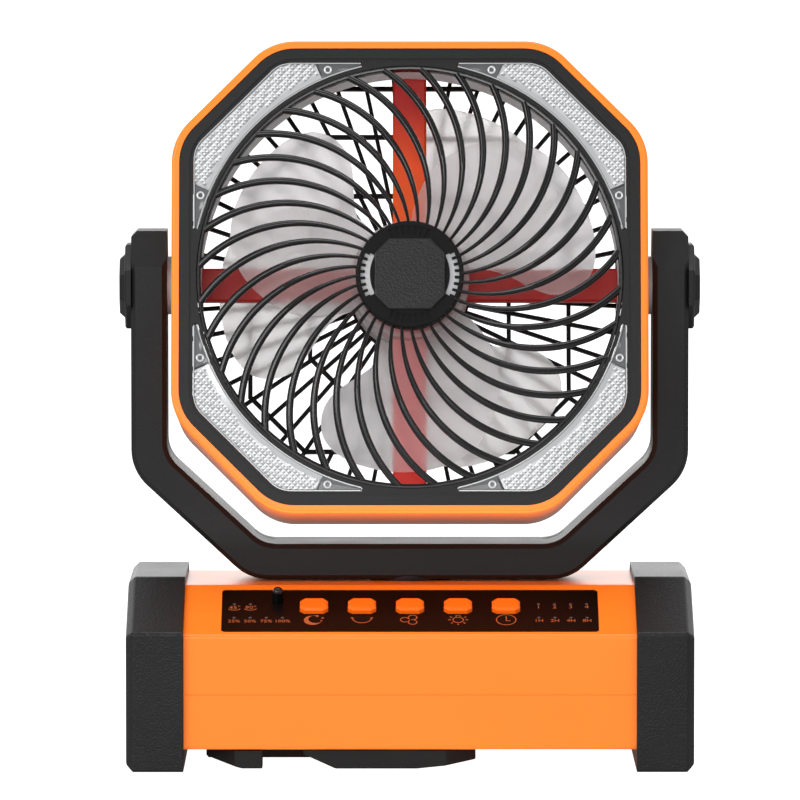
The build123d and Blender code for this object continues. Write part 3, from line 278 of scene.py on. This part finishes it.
finishes = {
    orange: ("base_upper_shell", "base_lower_shell", "head_shell"),
    cross_painted_light_and_shade: ("motor_cross",),
    key_orange: BUTTONS,
    cap_black: ("left_end_cap", "right_end_cap", "hub_badge"),
    black: (
        "yoke", "yoke_inner_cover", "left_pivot_cover", "right_pivot_cover",
        "front_bezel", "hanging_hook", "battery_tray", "slip_washer",
    ),
    satin_black: ("front_grille",),
    bar_black: ("rear_grille",),
    panel_black: ("control_panel",),
    receiver_black: ("remote_receiver",),
    front_blade: ("front_impeller",),
    rear_blade: ("rear_impeller",),
    pale: ("duct_ring", "tilt_washers"),
    prism_middle: LENSES,
    light_pipe: ("indicator_lights", "lamp_leds"),
    board_green: ("control_board", "power_board"),
    board_white: ("lamp_boards",),
    switch_black: ("tact_switches", "spindle_retainer"),
    cell_wrap: ("battery_cells",),
    motor_steel: (
        "front_motor", "rear_motor", "swing_motor", "swing_shaft", "front_shaft", "rear_shaft",
    ),
    screw_steel: (
        "base_screws", "retainer_screws", "rear_grille_screws", "pivot_pins", "pivot_screws",
        "hook_pins", "charge_socket",
    ),
    lead_black: ("head_lead",),
}
for finish, names in finishes.items():
    for name in names:
        nodes[name].data.materials.clear()
        nodes[name].data.materials.append(finish)


# Small radii on the moulded edges

SHARP_EDGE = math.radians(20)


def welded(name):
    """A node whose faces are joined along their edges."""
    node = nodes[name]
    weld = node.modifiers.new("weld", "WELD")
    weld.merge_threshold = WELD_GAP
    return node


def soften(names, width, segments=2):
    for name in names:
        bevel = welded(name).modifiers.new("edge", "BEVEL")
        bevel.limit_method = "ANGLE"
        bevel.angle_limit = SHARP_EDGE
        bevel.width = width * MM
        bevel.segments = segments
        bevel.harden_normals = True


soften(("left_end_cap", "right_end_cap"), 1.0, 3)
soften(("yoke", "left_pivot_cover", "right_pivot_cover", "hanging_hook"), 0.6)
soften(BUTTONS + ("hub_badge",), 0.35)


# The rear grille's bars are drawn slightly full, as moulded bars are

def thicken(name, amount):
    full = welded(name).modifiers.new("full", "DISPLACE")
    full.strength = amount * MM
    full.mid_level = 0.0


thicken("rear_grille", 0.2)


# Mesh pieces

class Shape:
    """Points in millimetres and faces with a finish each, gathered into one piece."""

    def __init__(self):
        self.points = []
        self.faces = []
        self.kinds = []

    def face(self, corners, kind=0):
        self.faces.append(corners)
        self.kinds.append(kind)

    def strip(self, rows, kind=0, wrap=False):
        """Joins equal rows of points by faces, going round each row if it closes on itself."""
        starts = []
        for row in rows:
            starts.append(len(self.points))
            self.points.extend(row)
        width = len(rows[0])
        for low, high in zip(starts, starts[1:]):
            for index in range(width if wrap else width - 1):
                after = (index + 1) % width
                self.face((low + index, low + after, high + after, high + index), kind)
        return starts

    def tube(self, rows):
        """A closed tube through rings of points, with its two ends filled."""
        starts = self.strip(rows, wrap=True)
        width = len(rows[0])
        self.face(tuple(range(starts[0], starts[0] + width))[::-1])
        self.face(tuple(range(starts[-1], starts[-1] + width)))

    def piece(self, name, body, materials, replaced=(), smooth=True):
        """Makes one object of everything gathered and puts it on a body of the frame."""
        mesh = bpy.data.meshes.new(name)
        mesh.from_pydata([tuple(point * MM) for point in self.points], [], self.faces)
        for material in materials:
            mesh.materials.append(material)
        mesh.polygons.foreach_set("material_index", self.kinds)
        mesh.polygons.foreach_set("use_smooth", [smooth] * len(self.faces))
        shape = bmesh.new()
        shape.from_mesh(mesh)
        bmesh.ops.remove_doubles(shape, verts=shape.verts, dist=MERGE_GAP)
        bmesh.ops.recalc_face_normals(shape, faces=shape.faces)
        shape.to_mesh(mesh)
        shape.free()
        made = bpy.data.objects.new(name, mesh)
        bpy.context.scene.collection.objects.link(made)
        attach(made, body)
        if replaced:
            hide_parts(*replaced)
        return made


def polar(radius, angle):
    return radius * math.cos(math.radians(angle)), radius * math.sin(math.radians(angle))


def circle_through(first, second, third):
    """Centre and radius of the circle through three points."""
    ax, ay = first
    bx, by = second
    cx, cy = third
    twice = 2 * (ax * (by - cy) + bx * (cy - ay) + cx * (ay - by))
    squares = [x * x + y * y for x, y in (first, second, third)]
    x = (squares[0] * (by - cy) + squares[1] * (cy - ay) + squares[2] * (ay - by)) / twice
    y = (squares[0] * (cx - bx) + squares[1] * (ax - cx) + squares[2] * (bx - ax)) / twice
    return x, y, math.hypot(ax - x, ay - y)


# Front grille: swirling round-edged ribs between the hub and the ring

RING_INNER, RING_OUTER = 92.8, 94.6
RING_FRONT, RING_REAR = 0.4, 6.8
HUB_RADIUS, HUB_FRONT, HUB_REAR = 24.0, -5.6, 2.4
RIB_COUNT, RIB_ROOT, RIB_TIP = 36, 22.6, 93.7
RIB_PHASE, RIB_SWEEP, RIB_MIDDLE_SWEEP = 1.0, 36.0, 15.5
RIB_DEPTH, RIB_ROOT_WIDTH, RIB_TIP_WIDTH, RIB_FULL_SHARE = 4.0, 1.3, 3.25, 0.75
RIB_STEPS, RIB_SIDES = 30, 12
RING_STEPS, HUB_STEPS = 160, 120
HUB_EDGE, HUB_WALL, HUB_PLATE = 0.8, 2.0, 2.2
DOME_SHOULDER = (58.4, -4.2)
DOME = circle_through((RING_OUTER, RING_FRONT), DOME_SHOULDER, (0.0, HUB_FRONT))
GRILLE_CREASE = math.radians(40)


def dome_front(radius):
    """Depth of the ribs' front edges at a distance from the middle."""
    middle, depth, reach = DOME
    return depth - math.sqrt(reach * reach - (radius - middle) ** 2)


def add_rib(shape, turn):
    """One rib: an oval bar along an arc from the hub to the ring, wider towards the ring."""
    start = polar(RIB_ROOT, turn)
    middle = polar((RIB_ROOT + RIB_TIP) / 2, turn + RIB_MIDDLE_SWEEP)
    stop = polar(RIB_TIP, turn + RIB_SWEEP)
    cx, cz, radius = circle_through(start, middle, stop)
    first = math.atan2(start[1] - cz, start[0] - cx)
    last = math.atan2(stop[1] - cz, stop[0] - cx)
    span = (last - first + math.pi) % (2 * math.pi) - math.pi
    rows = []
    for step in range(RIB_STEPS + 1):
        angle = first + span * step / RIB_STEPS
        out = (math.cos(angle), math.sin(angle))
        x, z = cx + radius * out[0], cz + radius * out[1]
        reach = math.hypot(x, z)
        share = min(1.0, (reach - RIB_ROOT) / (RIB_TIP - RIB_ROOT) / RIB_FULL_SHARE)
        growth = math.sin(share * math.pi / 2) * (RIB_TIP_WIDTH - RIB_ROOT_WIDTH)
        half = (RIB_ROOT_WIDTH + growth) / 2
        row = []
        for side in range(RIB_SIDES):
            round_angle = 2 * math.pi * side / RIB_SIDES
            across = half * math.cos(round_angle)
            depth = dome_front(reach) + RIB_DEPTH / 2 + RIB_DEPTH / 2 * math.sin(round_angle)
            row.append(in_head(x + out[0] * across, depth, z + out[1] * across))
        rows.append(row)
    shape.tube(rows)


def add_lathe(shape, profile, segments, kind=0):
    """Turns a closed outline of (radius, depth) points about the head's middle axis."""
    rows = []
    for index in range(segments + 1):
        x, z = polar(1.0, 360 * index / segments)
        rows.append([in_head(radius * x, depth, radius * z) for radius, depth in profile])
    shape.strip(rows, kind, wrap=True)


VENT_BANDS = (0.0, 17.7, 19.9, 21.9, HUB_RADIUS - HUB_EDGE)
VENT_HALF, TOOTH_PITCH, TOOTH_WIDTH = 29, 8, 3
VENT_DEPTH, SLOT_DEPTH = 1.9, 0.7
DULL, PALE = 1, 2


def vent_recess(angle, band):
    """How deep a cell of the hub's face lies, and which finish it has."""
    nearest = round(angle / 90) * 90
    off = angle - nearest
    if abs(off) > VENT_HALF or band not in (1, 2):
        return 0.0, DULL
    tooth = (off + VENT_HALF) % TOOTH_PITCH < TOOTH_WIDTH
    if nearest % 180 == 90:
        return (0.0 if tooth else SLOT_DEPTH), DULL
    if band == 2 and tooth:
        return 0.0, DULL
    return VENT_DEPTH, PALE


def add_hub(shape):
    """Stepped hub face with comb-edged vents at its sides and slots above and below."""
    rim, inside = HUB_RADIUS - HUB_EDGE, HUB_RADIUS - HUB_WALL
    profile = [
        (rim, HUB_FRONT), (HUB_RADIUS - 0.25, HUB_FRONT + 0.25), (HUB_RADIUS, HUB_FRONT + 0.9),
        (HUB_RADIUS, HUB_REAR), (inside, HUB_REAR),
        (inside, HUB_FRONT + HUB_PLATE), (rim, HUB_FRONT + HUB_PLATE),
    ]
    add_lathe(shape, profile, HUB_STEPS, DULL)
    bands = len(VENT_BANDS) - 1
    cells = {}
    for angle, band in product(range(360), range(bands)):
        cells[angle, band] = vent_recess(angle + 0.5, band)

    def corner(angle, band, depth):
        x, z = polar(VENT_BANDS[band], angle)
        shape.points.append(in_head(x, HUB_FRONT + depth, z))
        return len(shape.points) - 1

    for (angle, band), (depth, kind) in cells.items():
        low = corner(angle, band, depth), corner(angle + 1, band, depth)
        high = corner(angle, band + 1, depth), corner(angle + 1, band + 1, depth)
        corners = (low[0], high[0], high[1], low[1]) if band else (low[0], high[0], high[1])
        shape.face(corners, kind)
        next_depth = cells[(angle + 1) % 360, band][0]
        if next_depth != depth:
            inner = corner(angle + 1, band, next_depth)
            outer = corner(angle + 1, band + 1, next_depth)
            shape.face((low[1], high[1], outer, inner), DULL)
        if band < bands - 1 and cells[angle, band + 1][0] != depth:
            step = cells[angle, band + 1][0]
            first = corner(angle, band + 1, step)
            second = corner(angle + 1, band + 1, step)
            shape.face((high[0], high[1], second, first), DULL)


def swirl_grille():
    shape = Shape()
    for index in range(RIB_COUNT):
        add_rib(shape, RIB_PHASE + index * 360 / RIB_COUNT)
    ring = [
        (RING_INNER, RING_FRONT + 0.5), (RING_INNER + 0.25, RING_FRONT + 0.1),
        (RING_INNER + 0.7, RING_FRONT), (RING_OUTER - 0.4, RING_FRONT),
        (RING_OUTER, RING_FRONT + 0.4), (RING_OUTER, RING_REAR), (RING_INNER, RING_REAR),
    ]
    add_lathe(shape, ring, RING_STEPS)
    add_hub(shape)
    used = (satin_black, bar_black, pale)
    made = shape.piece("swirl_grille", "head", used, ("front_grille",))
    edges = made.modifiers.new("edges", "EDGE_SPLIT")
    edges.split_angle = GRILLE_CREASE


swirl_grille()


# Corner lamps: covers filled with small pyramids, a smooth inner border and smooth ends

LENS_INNER, LENS_SIDE, LENS_CORNER = 96.5, 96.0, 108.8
LENS_ROUND = 4.3
LENS_END_ANGLE, LENS_PRISM_ANGLE, LENS_GROOVE_ANGLE = 32.2, 21.3, 0.5
LENS_FRONT, LENS_REAR = 1.0, 7.4
LENS_STEPS = 200
LENS_FLOOR, LENS_GROOVE = 0.75, 1.5
LENS_RIM, LENS_INNER_SLOPE, LENS_OUTER_SLOPE, LENS_STEP = 0.5, 0.25, 0.35, 0.3
LENS_BORDER, LENS_BORDER_SHARE = 3.0, 0.4
PRISM_PITCH, PRISM_HEIGHT, PRISM_SINK = 1.84, 0.85, 0.02
PRISM_ROWS, PRISM_COLUMNS = range(40, 80), range(-30, 31)
PRISM_INNER_GAP, PRISM_OUTER_GAP, PRISM_END_ANGLE = 0.2, 0.5, 0.4
PAINTED_LIT_ABOVE, PAINTED_SHADE_BELOW = 0.2, -1.0
BOSS_ANGLE, BOSS_RADIUS, BOSS_WIRE, BOSS_LIFT = 23.6, 1.4, 0.45, 0.2
BOSS_STEPS, BOSS_SIDES = 24, 8
PAINTED_LIT, MIDDLE, PAINTED_SHADE, BORDER, TIP = range(5)


def blend_low(first, second):
    """The lower of two distances, rounded where they meet."""
    near = max(LENS_ROUND - abs(first - second), 0.0) / LENS_ROUND
    return min(first, second) - near * near * LENS_ROUND / 4


def lens_reach(angle):
    """Distance from the middle to a lamp cover's outer edge."""
    side = LENS_SIDE / max(math.cos(math.radians(angle)), math.sin(math.radians(angle)))
    return blend_low(side, LENS_CORNER / math.cos(math.radians(angle - 45)))


def lens_border(angle):
    """Distance from the middle to the end of a lamp cover's smooth inner border."""
    width = lens_reach(angle) - LENS_INNER
    return LENS_INNER + min(LENS_BORDER, LENS_BORDER_SHARE * width)


def lens_section(angle):
    """Radius, depth and finish across a lamp cover's face, from its inner to its outer edge."""
    reach = lens_reach(angle)
    off = abs(angle - 45)
    floor, finish, border_finish = LENS_FLOOR, MIDDLE, BORDER
    if off > LENS_PRISM_ANGLE:
        finish = border_finish = TIP
        floor = LENS_GROOVE if off < LENS_PRISM_ANGLE + LENS_GROOVE_ANGLE else LENS_FLOOR
    return (
        (LENS_INNER, 0.0, BORDER),
        (LENS_INNER + LENS_RIM, 0.0, TIP),
        (LENS_INNER + LENS_RIM + LENS_INNER_SLOPE, LENS_STEP, border_finish),
        (lens_border(angle), floor, finish),
        (reach - LENS_RIM - LENS_OUTER_SLOPE, floor, TIP),
        (reach - LENS_RIM, 0.0, BORDER),
        (reach, 0.0, BORDER),
    )


def add_pyramids(shape, corner):
    """Rows of four-sided prisms that fill the middle of a lamp cover."""
    half = PRISM_PITCH / 2
    widest = LENS_PRISM_ANGLE - PRISM_END_ANGLE
    for row, column in product(PRISM_ROWS, PRISM_COLUMNS):
        along, across = row * PRISM_PITCH, column * PRISM_PITCH
        angle = 45 + math.degrees(math.atan2(across, along))
        low = lens_border(angle) + PRISM_INNER_GAP
        high = lens_reach(angle) - LENS_RIM - PRISM_OUTER_GAP
        if abs(angle - 45) > widest or not low < math.hypot(along, across) < high:
            continue
        start = len(shape.points)
        for step_along, step_across in ((-1, -1), (1, -1), (1, 1), (-1, 1), (0, 0)):
            place_along, place_across = along + step_along * half, across + step_across * half
            turn = 45 + 90 * corner + math.degrees(math.atan2(place_across, place_along))
            x, z = polar(math.hypot(place_along, place_across), turn)
            rise = -PRISM_SINK if step_along else PRISM_HEIGHT
            shape.points.append(in_head(x, LENS_FRONT + LENS_FLOOR - rise, z))
        tip = start + 4
        for side in range(4):
            first, second = start + side, start + (side + 1) % 4
            one, other, top = (shape.points[index] for index in (first, second, tip))
            x, z = one.x + other.x - 2 * top.x, one.z + other.z - 2 * top.z
            # Painted light and shade: facets facing up and to the left take the lit tone, facets
            # facing down and to the right the shaded tone, with a fixed scatter from cell to
            # cell.
            tone = z - 0.5 * x + 0.5 * ((7 * row + 11 * column + 5 * side) % 5 - 2) * half
            finish = PAINTED_LIT if tone > PAINTED_LIT_ABOVE else MIDDLE if tone > PAINTED_SHADE_BELOW else PAINTED_SHADE
            shape.face((first, second, tip), finish)
        shape.face((start + 3, start + 2, start + 1, start), MIDDLE)


def add_boss(shape, corner, side):
    """Small ring on the smooth end of a lamp cover."""
    angle = 45 + side * BOSS_ANGLE
    x, z = polar((LENS_INNER + lens_reach(angle)) / 2, angle + 90 * corner)
    rows = []
    for step in range(BOSS_STEPS + 1):
        across, up = polar(1.0, 360 * step / BOSS_STEPS)
        row = []
        for turn in range(BOSS_SIDES):
            wide, deep = polar(BOSS_WIRE, 360 * turn / BOSS_SIDES)
            reach = BOSS_RADIUS + wide
            depth = LENS_FRONT + LENS_FLOOR - BOSS_LIFT + deep
            row.append(in_head(x + across * reach, depth, z + up * reach))
        rows.append(row)
    shape.strip(rows, MIDDLE, wrap=True)


def lamp_cover(name, corner):
    """The cover in one of the head's corners, counted from the upper right."""
    shape = Shape()
    sections = []
    for step in range(LENS_STEPS + 1):
        angle = 45 + LENS_END_ANGLE * (2 * step / LENS_STEPS - 1)
        section = lens_section(angle)
        places = [(radius, LENS_FRONT + depth) for radius, depth, _ in section]
        places += [(section[-1][0], LENS_REAR), (section[0][0], LENS_REAR)]
        row = []
        for radius, depth in places:
            x, z = polar(radius, angle + 90 * corner)
            row.append(in_head(x, depth, z))
        start = len(shape.points)
        shape.points.extend(row)
        sections.append((start, [finish for _, _, finish in section] + [MIDDLE, MIDDLE]))
    count = len(row)
    for (low, kinds), (high, _) in zip(sections, sections[1:]):
        for index in range(count):
            after = (index + 1) % count
            shape.face((low + index, low + after, high + after, high + index), kinds[index])
    for start, _ in (sections[0], sections[-1]):
        shape.face(tuple(range(start, start + count)), MIDDLE)
    add_pyramids(shape, corner)
    for side in (-1, 1):
        add_boss(shape, corner, side)
    used = (prism_painted_lit, prism_middle, prism_painted_shade, prism_border, prism_tip)
    shape.piece(name + "_cover", "head", used, (name,), smooth=False)


for corner, name in enumerate(LENSES):
    lamp_cover(name, corner)


# Print on the control panel

INK_HEIGHT = 0.05
STROKE = 0.42


def add_plate(shape, outline):
    """A thin raised patch of ink inside an outline of panel points."""
    count = len(outline)
    start = len(shape.points)
    shape.points.extend(on_panel(x, y, INK_HEIGHT) for x, y in outline)
    shape.points.extend(on_panel(x, y, 0.0) for x, y in outline)
    shape.face(tuple(range(start, start + count)))
    shape.face(tuple(range(start + count, start + 2 * count))[::-1])
    for index in range(count):
        after = (index + 1) % count
        shape.face((start + index, start + after, start + count + after, start + count + index))


def add_stroke(shape, line, width=STROKE):
    """A drawn line of ink through panel points."""
    left, right = [], []
    for index, (x, y) in enumerate(line):
        before, after = line[max(index - 1, 0)], line[min(index + 1, len(line) - 1)]
        run = Vector((after[0] - before[0], after[1] - before[1])).normalized() * width / 2
        left.append((x - run.y, y + run.x))
        right.append((x + run.y, y - run.x))
    for index in range(len(line) - 1):
        add_plate(shape, (left[index], left[index + 1], right[index + 1], right[index]))


def arc(x, y, radius, start, stop, steps=24, flat=1.0):
    """Points along an arc about a panel point, which can be flattened."""
    line = []
    for index in range(steps + 1):
        across, up = polar(radius, start + (stop - start) * index / steps)
        line.append((x + across, y + up * flat))
    return line


def add_text(shape, words, x, y, size):
    """Figures set in plain type, centred at a panel point."""
    curve = bpy.data.curves.new("figures", "FONT")
    curve.body = words
    curve.size = size
    curve.align_x = "CENTER"
    curve.align_y = "CENTER"
    curve.resolution_u = 3
    holder = bpy.data.objects.new("figures", curve)
    mesh = bpy.data.meshes.new_from_object(holder)
    for polygon in mesh.polygons:
        corners = [mesh.vertices[index].co for index in polygon.vertices]
        add_plate(shape, [(x + corner.x, y + corner.y) for corner in corners])
    bpy.data.objects.remove(holder)
    bpy.data.curves.remove(curve)
    bpy.data.meshes.remove(mesh)


def add_swing_arc(shape, x, y, radius, start, flat, head):
    """An arc with an arrowhead at each end."""
    add_stroke(shape, arc(x, y, radius, start, 540 - start, flat=flat))
    for side in (-1, 1):
        tip_x, tip_y = polar(radius, start if side < 0 else 540 - start)
        end, low = x + tip_x, y + tip_y * flat
        point = (end + side * head * 0.4, low + head * 1.3)
        add_plate(shape, ((end - head, low), (end + head, low), point))


def add_moon(shape, x, y):
    steps = 30
    outer = arc(x - 0.5, y - 0.4, 3.9, 75, 335, steps)
    inner = arc(x + 0.9, y + 0.5, 3.3, 75, 335, steps)
    for index in range(steps):
        add_plate(shape, (outer[index], outer[index + 1], inner[index + 1], inner[index]))
    for star_x, star_y, size in ((1.5, 3.2, 0.75), (3.9, 1.5, 0.6), (3.3, -0.8, 0.45)):
        add_plate(shape, arc(x + star_x, y + star_y, size, 0, 300, 5))


def add_fan(shape, x, y):
    for index in range(3):
        angle = 60 + 120 * index
        blade_x, blade_y = polar(2.3, angle)
        blade = arc(x + blade_x, y + blade_y, 1.9, angle - 150, angle + 130, 20)
        add_stroke(shape, blade)
        root_x, root_y = polar(0.5, angle - 60)
        add_stroke(shape, ((x + root_x, y + root_y), blade[0]))


def add_bulb(shape, x, y):
    add_stroke(shape, arc(x, y - 0.1, 2.3, 115, 425, 26))
    cap = ((-0.9, 2.0), (-0.9, 3.7), (0.9, 3.7), (0.9, 2.0), (-0.9, 2.0))
    add_stroke(shape, [(x + across, y + up) for across, up in cap])
    for angle in (0, 35, 145, 180, 225, 270, 315):
        near, far = polar(3.3, angle), polar(4.4, angle)
        add_stroke(shape, ((x + near[0], y + near[1]), (x + far[0], y + far[1])), 0.55)


def add_clock(shape, x, y):
    add_stroke(shape, arc(x, y, 4.3, 0, 360, 36))
    add_stroke(shape, ((x, y + 2.9), (x, y - 0.9)))
    add_stroke(shape, ((x - 0.2, y - 0.9), (x + 1.9, y - 0.9)))


BUTTON_X = [(index - 2) * 21.2 for index in range(5)]
LEFT_LIGHT_X, RIGHT_LIGHT_X, LIGHT_PITCH = -77.6, 56.8, 7.1
ICON_ROW, SWING_ROW, UPPER_ROW, LOWER_ROW = -7.4, 3.0, 3.4, -8.6
FIGURE_SIZE = 3.7


def panel_print():
    shape = Shape()
    for index, words in enumerate(("45°", "90°")):
        x = LEFT_LIGHT_X + index * LIGHT_PITCH
        add_text(shape, words, x + 0.2, SWING_ROW, FIGURE_SIZE)
        add_swing_arc(shape, x, 2.2, radius=2.6, start=200, flat=0.55, head=0.35)
    for index, words in enumerate(("25%", "50%", "75%", "100%")):
        add_text(shape, words, LEFT_LIGHT_X + index * LIGHT_PITCH, LOWER_ROW, FIGURE_SIZE * 0.88)
    for index, (upper, lower) in enumerate((("1", "1H"), ("2", "2H"), ("3", "4H"), ("4", "8H"))):
        x = RIGHT_LIGHT_X + index * LIGHT_PITCH
        add_text(shape, upper, x, UPPER_ROW, FIGURE_SIZE)
        add_text(shape, lower, x, LOWER_ROW + 0.4, FIGURE_SIZE * 0.9)
    add_moon(shape, BUTTON_X[0], ICON_ROW)
    add_swing_arc(shape, BUTTON_X[1], ICON_ROW + 1.6, radius=4.2, start=185, flat=1.0, head=0.8)
    add_fan(shape, BUTTON_X[2], ICON_ROW)
    add_bulb(shape, BUTTON_X[3], ICON_ROW)
    add_clock(shape, BUTTON_X[4], ICON_ROW)
    shape.piece("panel_print", "base", (panel_ink,), smooth=False)


panel_print()


# Studio: lengths in metres, light in watts

FLOOR_HALF, FLOOR_DROP = 30, 0.4 * MM
FLOOR_GLOW, FLOOR_FILL, SEEN_GLOW = 0.12, 0.9, 1.1
FRONT_GLOW, BACK_GLOW = 0.15, 1.15
CAMERA_AZIMUTH, CAMERA_ELEVATION = math.radians(-0.1), math.radians(4.53)
CAMERA_DISTANCE = 3.6
CAMERA_TARGET = Vector((-4.45, -61.0, 164.2)) * MM

# Name, place, target, width and height, power. The last one lights the head's underside.
LIGHTS = (
    ("top_light", (0.0, -0.2, 1.7), (0, 0, 0.2), (1.4, 0.9), 12),
    ("left_light", (-1.5, -1.4, 0.9), (0, 0, 0.15), (0.5, 1.4), 19),
    ("right_light", (1.5, -1.4, 0.9), (0, 0, 0.15), (0.4, 1.4), 6),
    ("front_light", (-0.4, -2.4, 0.7), (0, 0, 0.1), (1.4, 0.5), 19),
    ("back_light", (0.0, 3.2, 0.55), (0, 0, 0.2), (3.0, 0.7), 10),
    ("fill_light", (0.0, -0.045, 0.093), (0, -0.045, 0.3), (0.24, 0.03), 0.04),
)


def studio_floor():
    """White table top, seen through from below so that the underside can be looked at."""
    mesh = bpy.data.meshes.new("floor")
    shape = bmesh.new()
    bmesh.ops.create_grid(shape, x_segments=2, y_segments=2, size=FLOOR_HALF)
    bmesh.ops.translate(shape, verts=shape.verts, vec=(0, 0, -FLOOR_DROP))
    shape.to_mesh(mesh)
    shape.free()
    floor = bpy.data.objects.new("floor", mesh)
    bpy.context.scene.collection.objects.link(floor)
    made, tree, links, shader = new_material("floor")
    shader.inputs["Base Color"].default_value = (0.3, 0.3, 0.3, 1)
    shader.inputs["Roughness"].default_value = 0.9
    shader.inputs["Specular IOR Level"].default_value = 0.1
    shader.inputs["Emission Color"].default_value = (1, 1, 1, 1)
    sight = tree.new("ShaderNodeLightPath")
    glow = tree.new("ShaderNodeMath")
    glow.operation = "MULTIPLY_ADD"
    glow.inputs[1].default_value = SEEN_GLOW - FLOOR_GLOW
    glow.inputs[2].default_value = FLOOR_GLOW
    links.new(sight.outputs["Is Camera Ray"], glow.inputs[0])
    fill = tree.new("ShaderNodeMath")
    fill.operation = "MULTIPLY_ADD"
    fill.inputs[1].default_value = FLOOR_FILL
    links.new(sight.outputs["Is Diffuse Ray"], fill.inputs[0])
    links.new(glow.outputs["Value"], fill.inputs[2])
    links.new(fill.outputs["Value"], shader.inputs["Emission Strength"])
    fade_to_clear(tree, links, tree.new("ShaderNodeNewGeometry").outputs["Backfacing"])
    mesh.materials.append(made)


def softbox(name, place, target, size, power):
    """A soft rectangular light that the camera doesn't see."""
    lamp = bpy.data.lights.new(name, "AREA")
    lamp.shape = "RECTANGLE"
    lamp.size, lamp.size_y = size
    lamp.energy = power
    holder = bpy.data.objects.new(name, lamp)
    holder.location = place
    aim = Vector(target) - Vector(place)
    holder.rotation_euler = aim.to_track_quat("-Z", "Y").to_euler()
    holder.visible_camera = False
    bpy.context.scene.collection.objects.link(holder)


def studio_world():
    """White surroundings: bright behind the fan, dimmer on the other side."""
    world = bpy.data.worlds.new("studio")
    world.use_nodes = True
    tree = world.node_tree.nodes
    links = world.node_tree.links
    place = tree.new("ShaderNodeTexCoord")
    axes = tree.new("ShaderNodeSeparateXYZ")
    links.new(place.outputs["Generated"], axes.inputs["Vector"])
    glow = tree.new("ShaderNodeMapRange")
    glow.inputs["From Min"].default_value = -1.0
    glow.inputs["From Max"].default_value = 1.0
    glow.inputs["To Min"].default_value = FRONT_GLOW
    glow.inputs["To Max"].default_value = BACK_GLOW
    links.new(axes.outputs["Y"], glow.inputs["Value"])
    sight = tree.new("ShaderNodeLightPath")
    seen = tree.new("ShaderNodeMix")
    seen.inputs["B"].default_value = SEEN_GLOW
    links.new(sight.outputs["Is Camera Ray"], seen.inputs["Factor"])
    links.new(glow.outputs["Result"], seen.inputs["A"])
    links.new(seen.outputs["Result"], tree["Background"].inputs["Strength"])
    tree["Background"].inputs["Color"].default_value = (1, 1, 1, 1)
    bpy.context.scene.world = world
    bpy.context.scene.view_settings.view_transform = "Standard"


def photo_camera():
    """Long lens a little above the fan, nearly square to its front."""
    ahead = Vector((
        -math.sin(CAMERA_AZIMUTH) * math.cos(CAMERA_ELEVATION),
        math.cos(CAMERA_AZIMUTH) * math.cos(CAMERA_ELEVATION),
        -math.sin(CAMERA_ELEVATION),
    ))
    lens = bpy.data.cameras.new("camera")
    lens.lens = 369.9
    lens.sensor_width = 36
    lens.clip_end = 100
    camera = bpy.data.objects.new("camera", lens)
    camera.location = CAMERA_TARGET - ahead * CAMERA_DISTANCE
    camera.rotation_euler = ahead.to_track_quat("-Z", "Y").to_euler()
    bpy.context.scene.collection.objects.link(camera)
    bpy.context.scene.camera = camera


studio_floor()
for light in LIGHTS:
    softbox(*light)
studio_world()
photo_camera()
